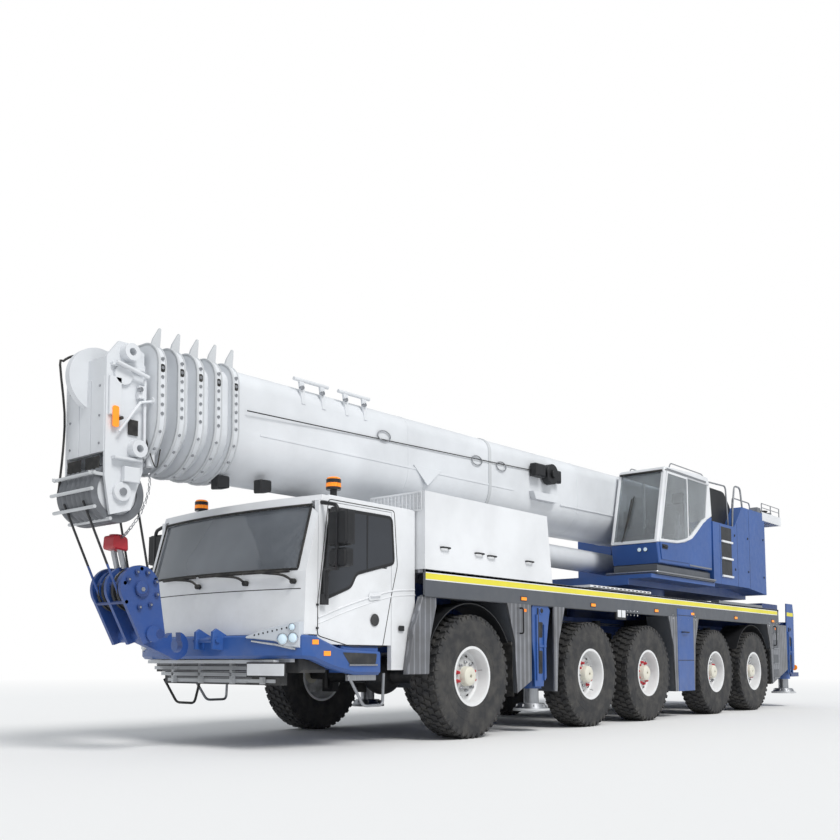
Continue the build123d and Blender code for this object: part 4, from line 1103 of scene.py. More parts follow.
# %% Roof and guard
roof_parts = [bar(-0.38, 0.38, AXLE_1 - 1.75, AXLE_1 - 1.20, 2.438, 2.470, 0.010),
              bar(-0.33, 0.33, AXLE_1 - 1.70, AXLE_1 - 1.25, 2.466, 2.482, 0.008)]
piece("roof_hatch", "carrier", PLASTIC, roof_parts)
gutter = [(1.235, y, 2.443) for y in np.linspace(AXLE_1 - 2.15, AXLE_1 - 0.90, 6)]
piece("roof_gutters", "carrier", WHITE, both(tube(gutter, 0.010, 8)))
lens = [(0.026, 0.0775), (0.085, 0.074), (0.120, 0.066), (0.128, 0.050), (0.131, 0.010)]
piece("beacon_lenses", "carrier", AMBER, [revolved(lens, (x, AXLE_1 - 1.90, 2.55), 2, 28)
                                          for x in (1.06, -1.06)])
GUARD_Y = AXLE_1 - 0.86
guard = []
for side, sign, flip in SIDES:
    x_0, x_1 = sorted((sign * 0.60, sign * 1.335))
    guard.append(bar(x_0, x_1, GUARD_Y - 0.006, GUARD_Y + 0.004, 2.445, 2.46, 0.002))
    guard.append(bar(x_0, x_1, GUARD_Y - 0.006, GUARD_Y + 0.004, 2.635, 2.655, 0.002))
    for step in range(15):
        x = x_0 + (x_1 - x_0) * step / 14
        guard.append(bar(x - 0.006, x + 0.006, GUARD_Y - 0.005, GUARD_Y + 0.002, 2.45, 2.64, 0.0015))
    for row in range(4):
        level = 2.485 + row * 0.038
        guard.append(bar(x_0, x_1, GUARD_Y - 0.004, GUARD_Y + 0.001, level, level + 0.008, 0.001))
piece("cab_guard", "carrier", WHITE, guard)
print("roof pieces and guard made")

# %% [markdown]
# Along the carrier's sides: a yellow stripe between white borders, amber markers in black rims, bent
# handles on the housing and the columns, bolts and seams, and two blank squares where labels would be.

# %% Stripe, markers and handles
SKIRT_X = 1.375
stripe_y = np.linspace(AXLE_1 - 0.84, AXLE_Y[4] + 1.20, 24)
stripe_low = np.interp(stripe_y, [AXLE_1 - 0.84, AXLE_1 + 3.4, AXLE_Y[4] + 1.20], [1.715, 1.722, 1.722])


def side_strip(places, low, high, inner, outer):
    """A thin strip on the left side whose two edges are given at each place along Y."""
    low, high = np.broadcast_to(low, places.shape), np.broadcast_to(high, places.shape)
    rings = [np.column_stack([np.array([inner, outer, outer, inner]), np.full(4, place),
                              np.array([bottom, bottom, top, top])])
             for place, bottom, top in zip(places, low, high)]
    return loft(rings)


stripe = side_strip(stripe_y, stripe_low, stripe_low + 0.062, 1.3745, 1.3768)
piece("side_stripes", "carrier", YELLOW, both(stripe))
borders = [side_strip(stripe_y, stripe_low - 0.011, stripe_low, 1.3745, 1.3766),
           side_strip(stripe_y, stripe_low + 0.062, stripe_low + 0.073, 1.3745, 1.3766)]
piece("stripe_borders", "carrier", WHITE, both(borders))
marker_y = [AXLE_1 + 1.0, AXLE_Y[1] + 0.05, AXLE_Y[2] + 0.25, AXLE_Y[3] - 0.9, AXLE_Y[3] + 0.85,
            AXLE_Y[4] + 0.95]
marker = bar(1.374, 1.386, -0.055, 0.055, 1.575, 1.615, 0.004)
piece("side_markers", "carrier", AMBER, both(copies(marker, [(0, y, 0) for y in marker_y])))
marker_rims = bar(1.374, 1.379, -0.065, 0.065, 1.567, 1.623, 0.002)
piece("side_marker_rims", "carrier", PLASTIC, both(copies(marker_rims, [(0, y, 0) for y in marker_y])))


def grab_handle(y_0, y_1, z_0, z_1, surface, reach=0.05, radius=0.010):
    """A bent round bar whose two feet stand on a face of the left side."""
    return tube(bent([(surface - 0.004, y_0, z_0), (surface + reach, y_0, z_0), (surface + reach, y_1, z_1),
                      (surface - 0.004, y_1, z_1)], 0.025), radius, 8)


housing_handles = [grab_handle(AXLE_1 + y - 0.07, AXLE_1 + y + 0.07, z, z, SKIRT_X, 0.035)
                   for y, z in ((-0.52, 2.07), (0.10, 2.06), (0.34, 2.05), (1.12, 2.05))]
piece("housing_handles", "carrier", PLASTIC, both(housing_handles))
column_bars = [grab_handle(AXLE_1 + 0.92, AXLE_1 + 0.92, 1.18, 1.48, SKIRT_X),
               grab_handle(AXLE_Y[4] + 0.98, AXLE_Y[4] + 0.98, 1.15, 1.50, SKIRT_X),
               grab_handle(AXLE_Y[2] + 1.08, AXLE_Y[2] + 1.28, 1.30, 1.30, 1.383, 0.04)]
piece("column_handles", "carrier", PLASTIC, both(column_bars))
# The reflectors wear the glowing amber lens finish: a painted glow, for a reflector is no lamp.
reflector = bar(1.374, 1.380, -0.035, 0.035, 1.44, 1.475, 0.002)
reflector_at = [(0, AXLE_1 + 1.02, 0), (0, AXLE_Y[4] + 1.08, 0)]
piece("column_reflectors", "carrier", AMBER, both(copies(reflector, reflector_at)))
bolt = disc((1.3755, 0, 0), 0.011, 0.014, 0, 6, 0.002)
bolt_at = [(0, y, z) for y_0, y_1 in ((AXLE_1 + 3.60, AXLE_1 + 3.90), (AXLE_Y[2] + 0.80, AXLE_Y[2] + 1.60),
                                      (AXLE_Y[4] + 0.78, AXLE_Y[4] + 1.30))
           for y in np.linspace(y_0, y_1, 4) for z in (1.555, 1.500)]
piece("skirt_bolts", "carrier", STEEL, both(copies(bolt, bolt_at)))
panel_seam = [bar(1.3825, 1.3845, AXLE_Y[2] + 0.955, AXLE_Y[2] + 1.505, 0.865, 0.875, 0.0005),
              bar(1.3825, 1.3845, AXLE_Y[2] + 0.955, AXLE_Y[2] + 1.505, 1.555, 1.563, 0.0005)]
piece("panel_seams", "carrier", SEAL, both(panel_seam))
squares = [bar(1.374, 1.380, AXLE_1 + 3.32, AXLE_1 + 3.42, 1.46, 1.56, 0.002),
           bar(1.374, 1.380, AXLE_1 + 3.44, AXLE_1 + 3.54, 1.46, 1.56, 0.002)]
piece("blank_squares", "carrier", WHITE, both(squares))
bracket = bar(1.345, 1.3745, AXLE_1 + 3.29, AXLE_1 + 3.57, 1.43, 1.60)
piece("blank_squares_bracket", "carrier", BLACK, both(bracket))
print("stripes, markers and handles on both sides")

# %% [markdown]
# Under the sides: liners over the first and last wheels, mudflaps, air tanks with their straps, side
# boxes, a suspension cylinder at each wheel, brake hoses to the axles, and pipes along the frame.

# %% Liners, mudflaps, tanks and hoses
liner_parts, flap_parts = [], []
for axle in (0, 4):
    arc = np.radians(np.linspace(-62, 62, 15))
    liner_y, liner_z = AXLE_Y[axle] + 0.80 * np.sin(arc), 0.69 + 0.80 * np.cos(arc)
    rings = [np.array([(0.93, y, z), (1.338, y, z), (1.338, y + 0.010 * np.sin(a), z + 0.010),
                       (0.93, y + 0.010 * np.sin(a), z + 0.010)]) for y, z, a in zip(liner_y, liner_z, arc)]
    liner_parts.append(loft(rings))
piece("wheel_liners", "carrier", PLASTIC, both(liner_parts))
for flap_y in (AXLE_1 + 0.775, AXLE_Y[2] + 0.86, AXLE_Y[4] + 0.80):
    wave = np.linspace(0, 1, 8)
    level, hang = 1.06 - 0.62 * wave, flap_y + 0.05 * wave
    inner, outer = hang + 0.012 * np.sin(5 * wave), hang + 0.012 * np.sin(5 * wave + 1)
    edges = ((1.02, inner), (1.345, outer), (1.345, outer + 0.008), (1.02, inner + 0.008))
    flap_parts.append(loft(np.stack([np.column_stack([np.full(8, x), y, level]) for x, y in edges], 1)))
    flap_parts.append(bar(1.00, 1.35, flap_y - 0.012, flap_y + 0.020, 1.04, 1.08, 0.003))
piece("mudflaps", "carrier", SEAL, both(flap_parts))
TANKS = ((0.62, 0.10, 1.16, 0.72, 0.125), (0.62, 2.12, 1.10, 0.90, 0.140), (-0.64, 2.12, 1.10, 0.90, 0.140),
         (-0.62, 0.10, 1.16, 0.72, 0.125))
tank_parts, strap_parts = [], []
for tank_x, tank_y, tank_z, length, radius in TANKS:
    half = length / 2
    profile = [(-half, 0.01), (-half + 0.01, radius * 0.5), (-half + 0.035, radius * 0.85),
               (-half + 0.07, radius), (half - 0.07, radius), (half - 0.035, radius * 0.85),
               (half - 0.01, radius * 0.5), (half, 0.01)]
    tank_parts.append(revolved(profile, (tank_x, tank_y, tank_z), 1, 24))
    for strap in (-0.5, 0.5):
        strap_parts.append(disc((tank_x, tank_y + strap * half, tank_z), radius + 0.005, 0.03, 1, 24))
        low, high = sorted((tank_x, 0.44 * np.sign(tank_x)))
        strap_parts.append(bar(low, high, tank_y + strap * half - 0.02, tank_y + strap * half + 0.02,
                               tank_z - 0.03, tank_z + 0.03))
piece("air_tanks", "carrier", BLACK, tank_parts)
piece("tank_straps", "carrier", STEEL, strap_parts)
box_parts = [bar(0.46, 1.30, AXLE_Y[2] + 0.98, AXLE_Y[2] + 1.46, 0.86, 1.50, 0.012),
             bar(-1.30, -0.46, AXLE_Y[2] + 0.98, AXLE_Y[2] + 1.46, 0.86, 1.50, 0.012)]
piece("side_boxes", "carrier", BLACK, box_parts)
barrel_parts, rod_parts, hose_parts = [], [], []
for y in AXLE_Y:
    barrel = [(-0.17, 0.075), (-0.15, 0.085), (-0.02, 0.085), (0.0, 0.070)]
    barrel_parts.append(revolved(barrel, (0.62, y + 0.10, 1.28), 2, 20))
    rod_parts.append(tube([(0.62, y + 0.10, 0.80), (0.62, y + 0.10, 1.14)], 0.038, 12))
    rod_parts.append(disc((0.62, y + 0.10, 0.79), 0.055, 0.05, 1, 16))
    hose_parts.append(tube(smooth_path([(0.455, y - 0.16, 1.05), (0.56, y - 0.20, 0.98),
                                        (0.66, y - 0.14, 0.84), (0.72, y - 0.05, 0.77)], 5), 0.012, 8))
    hose_parts.append(tube(smooth_path([(0.455, y - 0.21, 1.10), (0.60, y - 0.27, 1.02),
                                        (0.74, y - 0.18, 0.86), (0.78, y - 0.06, 0.78)], 5), 0.009, 8))
piece("suspension_cylinders", "carrier", BLACK, both(barrel_parts))
piece("suspension_rods", "carrier", STEEL, both(rod_parts))
piece("brake_hoses", "carrier", SEAL, both(hose_parts))
pipe_parts = [tube(bent([(0.462, AXLE_1 - 1.2, z), (0.462, AXLE_1 + 2.1, z), (0.462, AXLE_Y[4] + 1.5, z)],
                        0.03), 0.008, 6) for z in (1.02, 1.045, 1.07, 1.40, 1.425)]
piece("frame_pipes", "carrier", STEEL, both(pipe_parts))
print("liners, flaps, tanks and hoses made")

# %% [markdown]
# On the deck: grip plates, steel rails at the rear, and the white walkway plate beside the turntable,
# with painted shade in the slots along its edge and black feet. At the tail, the lenses of the lamps.

# %% Deck and tail
grip_plate = bar(0.66, 1.33, AXLE_1 + 1.78, AXLE_1 + 2.58, 1.8195, 1.826, 0.002)
piece("deck_grip_plates", "carrier", DECK, both(grip_plate))
walkway = bar(1.02, 1.36, AXLE_1 + 2.62, AXLE_1 + 4.38, 1.835, 1.868, 0.006)
piece("walkway_plates", "carrier", WHITE, both(walkway))
# Dark plates painted as the shade inside the walkway's slots
slot_y = AXLE_1 + 2.70 + 0.12 * np.arange(14)
slot_shades = [bar(1.355, 1.3615, y, y + 0.07, 1.845, 1.858, 0.001) for y in slot_y]
piece("walkway_slot_shades", "carrier", SEAL, both(slot_shades))
feet = [bar(1.05, 1.10, AXLE_1 + y, AXLE_1 + y + 0.05, 1.8195, 1.836) for y in (2.7, 3.5, 4.25)]
piece("walkway_feet", "carrier", BLACK, both(feet))
rail = bar(1.20, 1.35, AXLE_1 + 6.89, AXLE_1 + 8.83, 1.820, 1.868, 0.006)
piece("silver_rails", "carrier", STEEL, both(rail))
TAIL_Y = AXLE_Y[4] + 2.55
lamp_parts = {"red": [], "amber": []}
for side, sign, flip in SIDES:
    for place, kind in enumerate(("red", "red", "amber")):
        x = sign * (0.92 + 0.14 * place)
        lamp_parts[kind].append(disc((x, TAIL_Y + 0.004, 0.735), 0.055, 0.022, 1, 24, 0.005))
piece("tail_lenses_red", "carrier", RED_LENS, lamp_parts["red"])
piece("tail_lenses_amber", "carrier", AMBER, lamp_parts["amber"])
print("deck and tail pieces made")

# %% [markdown]
# The deck and its sides as the real sheet metal has them: a deck with a round hole for the slewing
# ring, skirts, and columns of tread plate whose edges lean away from the wheels on their way down.
# Behind each wheel the column is folded inwards, which keeps mud off the boxes.

# %% Deck, skirts and columns
DECK_TOP = 1.820
FRONT_JACK_Y = {"left": AXLE_1 + 1.42, "right": AXLE_1 + 1.025}
REAR_JACK_Y = {"left": AXLE_Y[4] + 1.92, "right": AXLE_Y[4] + 1.525}
JACK_GAP = 0.255
RING_HOLE = 0.93
ring_angle = np.radians(np.linspace(90, -90, 25))
deck_half = np.concatenate([[(0.001, AXLE_1 - 0.85), (SKIRT_X, AXLE_1 - 0.85), (SKIRT_X, AXLE_Y[4] + 1.27),
                             (0.001, AXLE_Y[4] + 1.27)], np.column_stack([0.001 + RING_HOLE
    * np.cos(ring_angle), SLEW_Y + RING_HOLE * np.sin(ring_angle)])])
made = piece("deck_plates", "carrier", DECK, both(plate(deck_half, DECK_TOP - 0.04, DECK_TOP, 2, 0.004)))
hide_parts("carrier_deck")
skirt = bar(1.345, SKIRT_X, AXLE_1 - 0.85, AXLE_Y[4] + 1.27, 1.53, DECK_TOP - 0.002, 0.004)
lip = bar(1.30, 1.372, AXLE_1 - 0.85, AXLE_Y[4] + 1.27, 1.527, 1.545, 0.004)
piece("skirts", "carrier", GREY, both(joined([skirt, lip])))


def arch_edge(axle_y, way, low):
    """The edge of a column beside a wheel: it leans away from the wheel on its way down."""
    return [(axle_y + way * 0.66, 1.535), (axle_y + way * 0.815, 1.09), (axle_y + way * 0.86, low)]


def jack_edge(jack_y, way, low):
    """The upright edge of a column beside a jack."""
    return [(jack_y + way * JACK_GAP, 1.535), (jack_y + way * JACK_GAP, low)]


for side, sign, flip in SIDES:
    front_jack, rear_jack = FRONT_JACK_Y[side], REAR_JACK_Y[side]
    columns = [(arch_edge(AXLE_1, 1, 0.48), jack_edge(front_jack, -1, 0.62)),
               (jack_edge(front_jack, 1, 0.48), arch_edge(AXLE_Y[1], -1, 0.48)),
               (arch_edge(AXLE_Y[2], 1, 0.40), arch_edge(AXLE_Y[3], -1, 0.40)),
               (arch_edge(AXLE_Y[4], 1, 0.445), jack_edge(rear_jack, -1, 0.70))]
    made_columns, made_returns, made_steps = [], [], []
    for number, (front_edge, rear_edge) in enumerate(columns):
        if rear_edge[-1][0] - front_edge[-1][0] < 0.06:
            continue
        made_columns.append(side_plate(front_edge + rear_edge[::-1], 1.347, SKIRT_X, 0.004))
        for edge in (front_edge, rear_edge):
            if len(edge) == 3:
                down = np.concatenate([np.linspace(edge[0], edge[1], 4),
                                       np.linspace(edge[1], edge[2], 4)[1:]])
                made_returns.append(loft([[(1.00, y, z), (1.348, y, z), (1.348, y + 0.012, z),
                                           (1.00, y + 0.012, z)] for y, z in down]))
        if number == 3:
            for row in range(4):
                low = 0.56 + 0.27 * row
                step_y = front_edge[-1][0] + 0.09
                made_returns.append(bar(1.374, 1.3765, step_y, step_y + 0.23, low, low + 0.15, 0.001))
                made_steps.append(bar(1.372, 1.392, step_y - 0.012, step_y + 0.242, low - 0.016, low, 0.003))
    piece(f"side_columns_{side}", "carrier", DECK, flip(made_columns))
    piece(f"column_returns_{side}", "carrier", GREY, flip(made_returns))
    piece(f"ladder_steps_{side}", "carrier", STEEL, flip(made_steps))
blue_panel = bar(1.30, 1.3825, AXLE_Y[2] + 0.95, AXLE_Y[2] + 1.51, 0.40, 1.66, 0.006)
piece("side_panels", "carrier", BLUE, both(blue_panel))
fender = from_axle([(-1.08, 0.715), (-0.74, 0.715), (-0.72, 1.09), (-0.62, 1.43), (-0.62, 1.53),
                    (-0.85, 1.53), (-0.99, 1.18)])
piece("cab_fenders", "carrier", DECK, both(side_plate(fender, 1.266, 1.345, 0.006)))
print("deck, skirts and columns made")

# %% [markdown]
# The bumper is one pressed band that runs round the front corner. Its section is the same everywhere,
# but its upper and lower edges rise and fall along the way: it is deep at the front, and low beside
# the door, where a pocket holds the foot, its inside a black plate of painted shade, and a bent tube
# hangs below as the first step.

# %% Bumper, steps and inlet
side_y = AXLE_1 - np.array([1.45, 1.47, 1.80, 1.95, 2.05, 2.13, 2.25, 2.34, 2.44])
arc_x = np.linspace(1.262, -1.262, 41)
walk_x = np.concatenate([np.full(len(side_y), BUMPER_HALF), arc_x, np.full(len(side_y), -BUMPER_HALF)])
walk_y = np.concatenate([side_y, bumper_face(arc_x, 0), side_y[::-1]])
ahead = AXLE_1 - walk_y
band_high = np.interp(ahead, [1.45, 2.00, 2.34, 2.48], [0.945, 0.963, 1.085, 1.094])
band_low = np.interp(ahead, [1.45, 1.82, 2.13, 2.38, 2.75], [0.713, 0.718, 0.788, 0.872, 0.872])
way = np.gradient(np.column_stack([walk_x, walk_y]), axis=0)
way /= np.linalg.norm(way, axis=1)[:, None]
outward = np.column_stack([-way[:, 1], way[:, 0]])
section = ((0.0, 0.030, 0), (0.0, -0.018, 1), (-0.014, 0.0, 1), (-0.085, 0.0, 1), (-0.090, -0.012, 1),
           (-0.090, 0.0, 0), (-0.030, 0.0, 0))
rings = []
for out, rise, top in section:
    level = (band_high if top else band_low) + rise
    rings.append(np.column_stack([walk_x + out * outward[:, 0], walk_y + out * outward[:, 1], level]))
bumper_top = plate(np.concatenate([np.column_stack([arc_x, bumper_face(arc_x, 0) + 0.05]),
                                   [(-1.24, AXLE_1 - 2.30), (1.24, AXLE_1 - 2.30)]]), 1.06, 1.090, 2, 0.004)
made = piece("bumper_band", "carrier", BLUE, [loft(np.stack(rings, 1)), bumper_top])
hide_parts("front_bumper")
# A black plate painted as the shade inside each step pocket
pocket = rounded(from_axle([(-1.99, 0.935), (-1.50, 0.925), (-1.52, 0.820), (-1.89, 0.820)]), 0.02)
piece("step_pocket_shades", "carrier", BLACK, both(side_plate(pocket, 1.2895, 1.2925, 0.001)))
pocket_lip = [bar(1.286, 1.306, AXLE_1 - 1.90, AXLE_1 - 1.50, 0.805, 0.822, 0.004),
              bar(1.20, 1.246, AXLE_1 - 1.86, AXLE_1 - 1.46, 0.66, 0.72, 0.006)]
piece("step_edges", "carrier", STEEL, both(pocket_lip))
loop = [(1.235, y, z) for y, z in from_axle([(-1.86, 0.72), (-1.635, 0.41), (-1.355, 0.41), (-1.34, 0.73)])]
piece("step_loops", "carrier", STEEL, both(tube(bent(loop, 0.05), 0.015, 10)))
side_block = bar(1.05, 1.245, AXLE_1 - 1.95, AXLE_1 - 1.42, 0.74, 1.00, 0.02)
piece("step_boxes", "carrier", BLUE, both(side_block))
cheek = from_axle([(-2.68, 0.945), (-2.845, 0.965), (-2.845, 1.13), (-2.80, 1.16), (-2.68, 1.10)])
jaw = [side_plate(cheek, x - 0.018, x + 0.018, 0.004) for x in (0.13, 0.39)]
jaw.append(tube([(0.09, AXLE_1 - 2.80, 1.05), (0.43, AXLE_1 - 2.80, 1.05)], 0.024, 14))
jaw.append(disc((0.085, AXLE_1 - 2.80, 1.05), 0.036, 0.02, 0, 6))
piece("tow_jaw", "carrier", BLUE, jaw)
slats = []
for row in range(4):
    half, front, top = 1.0 - 0.05 * row, AXLE_1 - 2.60 + 0.05 * row, 0.862 - 0.062 * row
    slats.append(bar(-half, half, front, front + 0.07, top - 0.034, top, 0.005))
for x in (-0.70, -0.25, 0.25, 0.70):
    slats.append(bar(x - 0.02, x + 0.02, AXLE_1 - 2.50, AXLE_1 - 2.45, 0.63, 0.95, 0.005))
slats.append(bar(-1.10, 1.10, AXLE_1 - 2.48, AXLE_1 - 2.42, 0.84, 0.90, 0.01))
piece("inlet_slats", "carrier", PALE_GREY, slats)
under = [bar(-1.15, 1.15, AXLE_1 - 2.40, AXLE_1 - 2.05, 0.74, 0.92, 0.03),
         bar(-0.92, 0.92, AXLE_1 - 2.44, AXLE_1 - 2.35, 0.62, 0.80, 0.01)]
piece("radiator_frame", "carrier", BLACK, under)
hoop = [(x, AXLE_1 - 2.42, z) for x, z in ((-0.95, 0.66), (-0.72, 0.42), (-0.42, 0.42), (-0.34, 0.64))]
piece("front_step_loop", "carrier", SEAL, tube(bent(hoop, 0.05), 0.013, 8))
print("bumper, steps and inlet made")

# %% [markdown]
# The outrigger jacks stand in blue masts: an outside plate with windows of painted shade, webs beside
# the tube, a hose that feeds the cylinder, and a yellow stripe on the rear pair. The floats below have ribs.

# %% Jack masts
MAST = {"front": [(-0.17, 1.59), (0.13, 1.57), (0.20, 1.48), (0.175, 1.38), (0.075, 0.84), (0.04, 0.545),
                  (-0.15, 0.545), (-0.16, 0.84), (-0.20, 1.10), (-0.20, 1.50)],
        "rear": [(-0.15, 1.96), (0.19, 1.96), (0.235, 1.76), (0.19, 0.72), (-0.13, 0.66), (-0.18, 1.10),
                 (-0.18, 1.50)]}
for end, places in (("front", FRONT_JACK_Y), ("rear", REAR_JACK_Y)):
    for side, sign, flip in SIDES:
        jack_y, beam = places[side], f"beam_{end}_{side}"
        outline = [(jack_y + y, z) for y, z in MAST[end]]
        mast = [side_plate(outline, 1.328, 1.352, 0.004)]
        mast += [bar(1.20, 1.345, jack_y + y, jack_y + y + 0.02, 0.64, 1.48, 0.003) for y in (-0.15, 0.10)]
        mast += [disc((1.352, jack_y, 1.47), 0.052, 0.014, 0, 24),
                 bar(1.351, 1.364, jack_y - 0.12, jack_y + 0.10, 1.02, 1.05, 0.003),
                 bar(1.351, 1.372, jack_y - 0.13, jack_y - 0.10, 0.62, 1.42, 0.004),
                 bar(1.351, 1.372, jack_y + 0.035, jack_y + 0.06, 0.62, 1.30, 0.004)]
        piece(f"jack_mast_{end}_{side}", beam, BLUE, flip(mast))
        # Dark plates painted as the shade inside the mast's windows and the boss's bore
        dark = []
        for low, high, low_y, high_y in ((1.14, 1.33, 0.02, 0.03), (0.70, 0.98, 0.015, 0.02)):
            opening = [(jack_y - 0.07, high), (jack_y - 0.07, low), (jack_y + low_y, low),
                       (jack_y + high_y, high)]
            dark.append(side_plate(rounded(opening, 0.02), 1.3515, 1.3545, 0.001))
        dark.append(disc((1.360, jack_y, 1.47), 0.030, 0.004, 0, 20))
        piece(f"mast_window_shades_{end}_{side}", beam, SEAL, flip(dark))
        hose = smooth_path([(1.358, jack_y - 0.085, 1.50), (1.366, jack_y - 0.09, 1.20),
                            (1.362, jack_y - 0.08, 0.86), (1.33, jack_y - 0.06, 0.60)], 6)
        piece(f"jack_hose_{end}_{side}", beam, SEAL, flip(tube(hose, 0.008, 8)))
        foot = [revolved([(0.0, 0.222), (0.012, 0.228), (0.028, 0.222), (0.034, 0.19), (0.075, 0.125),
                          (0.092, 0.10)], (1.19, jack_y, 0.2495), 2, 40)]
        foot += [turned(bar(1.19 + 0.11, 1.19 + 0.19, jack_y - 0.006, jack_y + 0.006, 0.278, 0.330, 0.002),
                        turn, 2, (1.19, jack_y, 0)) for turn in range(0, 360, 45)]
        piece(f"float_ribs_{end}_{side}", f"jack_{end}_{side}", PALE_GREY, flip(foot))
        if end == "rear":
            strip = bar(1.3515, 1.3545, jack_y - 0.145, jack_y + 0.185, 1.72, 1.79, 0.001)
            piece(f"mast_stripe_{side}", beam, YELLOW, flip(strip))
print("jack masts made")

# %% [markdown]
# The operator's cab is a welded frame of thin white posts on a blue body, glazed nearly all round so
# that the operator can watch the hook. The line between blue and white sweeps up to the rear. Its door
# slides back along the side. Behind the glass stand the seat, the levers and the screen.

# %% Operator's cab
CC_IN, CC_OUT = 0.500, 1.285


def slewed(name, body, finish, shapes):
    """A piece whose shapes are given from the slewing axis along Y."""
    return piece(name, body, finish, moved(one(shapes), y=SLEW_Y))


belt = [(1.03, 3.27), (0.90, 3.235), (0.69, 3.14), (0.45, 2.975), (0.23, 2.835), (-0.05, 2.745),
        (-0.35, 2.70), (-0.95, 2.675)]
cab_low = plate([(-1.035, 2.64), (-0.97, 2.34), (0.985, 2.36)] + belt, CC_IN, CC_OUT, 0, 0.014)
made = slewed("crane_cab_body", "turntable", BLUE, cab_low)
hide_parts("crane_cab_shell")
posts = [plate([(-0.735, 3.79), (0.975, 3.80), (0.92, 3.925), (0.60, 3.935), (-0.66, 3.875), (-0.715, 3.85)],
               CC_IN, CC_OUT, 0, 0.016),
         plate([(0.90, 3.79), (0.975, 3.79), (1.03, 3.28), (0.78, 3.18)], CC_IN, CC_OUT, 0, 0.010)]
for x_0, x_1 in ((CC_IN, CC_IN + 0.05), (CC_OUT - 0.055, CC_OUT)):
    posts.append(plate([(-1.037, 2.66), (-0.718, 3.83), (-0.640, 3.83), (-0.955, 2.66)], x_0, x_1, 0, 0.008))
    posts.append(plate([(-0.97, 2.665), (-0.35, 2.690), (-0.05, 2.735), (0.23, 2.825), (0.45, 2.965),
                        (0.69, 3.13), (0.80, 3.18), (0.80, 3.235), (0.66, 3.18), (0.42, 3.02), (0.21, 2.88),
                        (-0.06, 2.79), (-0.35, 2.745), (-0.96, 2.715)], x_0 + 0.002, x_1 + 0.002, 0, 0.006))
    posts.append(bar(x_0 + 0.005, x_1 - 0.005, 0.065, 0.10, 2.78, 3.82, 0.004))
posts.append(bar(CC_IN + 0.02, CC_OUT - 0.02, -1.030, -0.995, 2.655, 2.700, 0.006))
slewed("crane_cab_posts", "turntable", WHITE, posts)
# The glazing's pale tint is painted sky reflection.
CAB_GLASS = window("crane_cab_glazing", colour(214, 220, 224), 0.86, 0.3)
front_glass = plate([(-1.022, 2.690), (-1.014, 2.690), (-0.710, 3.800), (-0.718, 3.800)], CC_IN + 0.045,
                    CC_OUT - 0.050, 0, 0.002)
fixed_glass = plate([(0.09, 2.80), (0.09, 3.80), (0.91, 3.80), (0.95, 3.40), (0.74, 3.20), (0.42, 3.0)],
                    CC_OUT - 0.030, CC_OUT - 0.024, 0, 0.001)
boom_side_glass = plate([(-0.97, 2.70), (-0.67, 3.80), (0.91, 3.80), (0.95, 3.40), (0.74, 3.20), (0.42, 3.0),
                                (-0.05, 2.76)], CC_IN + 0.018, CC_IN + 0.024, 0, 0.001)
made = slewed("crane_cab_panes", "turntable", CAB_GLASS, [front_glass, fixed_glass, boom_side_glass])
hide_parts("crane_cab_glass")
made = slewed("crane_door_pane", "crane_cab_door", CAB_GLASS,
             plate([(-0.93, 2.70), (-0.63, 3.79), (0.06, 3.79), (0.06, 2.80), (-0.06, 2.76), (-0.35, 2.715)],
                   CC_OUT + 0.004, CC_OUT + 0.009, 0, 0.001))
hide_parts("crane_cab_door")
outer_edge = np.array([(-0.35, 2.700), (-0.06, 2.755), (0.075, 2.80), (0.075, 3.80), (-0.655, 3.80),
                              (-0.965, 2.68)])
inner_edge = shrunk(outer_edge, 0.034)
door_rings = [np.column_stack([np.full(6, CC_OUT + proud), edge]) for edge, proud in
              ((outer_edge, 0.001), (outer_edge, 0.014), (inner_edge, 0.014), (inner_edge, 0.001))]
slewed("crane_door_frame", "crane_cab_door", WHITE, loft(door_rings, closed=True))
door_low = plate([(-0.955, 2.655), (-0.90, 2.40), (0.075, 2.41), (0.075, 2.775), (-0.06, 2.735),
                  (-0.35, 2.685)], CC_OUT + 0.001, CC_OUT + 0.012, 0, 0.003)
slewed("crane_door_panel", "crane_cab_door", BLUE, door_low)
slewed("crane_door_handle", "crane_cab_door", PLASTIC,
      [grab_handle(-0.86, -0.74, 2.60, 2.60, CC_OUT + 0.010, 0.03),
       bar(CC_OUT + 0.010, CC_OUT + 0.018, -0.89, -0.71, 2.565, 2.635, 0.003)])
rail = [bar(CC_OUT - 0.001, CC_OUT + 0.016, -0.65, 0.80, 3.815, 3.845, 0.003),
        bar(CC_OUT - 0.001, CC_OUT + 0.010, 0.10, 0.95, 2.372, 2.396, 0.003)]
slewed("crane_door_rails", "turntable", STEEL, rail)
platform = []
for x_0, x_1, y_0, y_1, low, high, bevel in ((0.46, 1.32, -1.12, 1.02, 2.165, 2.195, 0.006),
                                             (0.52, 1.25, -0.98, 0.97, 2.190, 2.345, 0.030)):
    platform.append(plate([(x_0, y_0), (x_1, y_0), (x_1, y_1), (x_0, y_1)], low, high, 2, bevel))
slewed("crane_cab_platform", "turntable", GREY, platform)
edge_path = [(0.46, -1.125, 2.20), (1.325, -1.125, 2.20), (1.325, 1.02, 2.20)]
slewed("platform_edge", "turntable", STEEL, tube(bent(edge_path, 0.05), 0.012, 8))
for name, finish, y, radius in (("lamps", HEADLIGHT, -1.012, 0.030), ("lamp_rims", PLASTIC, -1.004, 0.038)):
    slewed(f"crane_cab_{name}", "turntable", finish,
          [disc((x, y, 2.555), radius, 0.03, 1, 20) for x in (0.98, 1.08)])
roof_rails = []
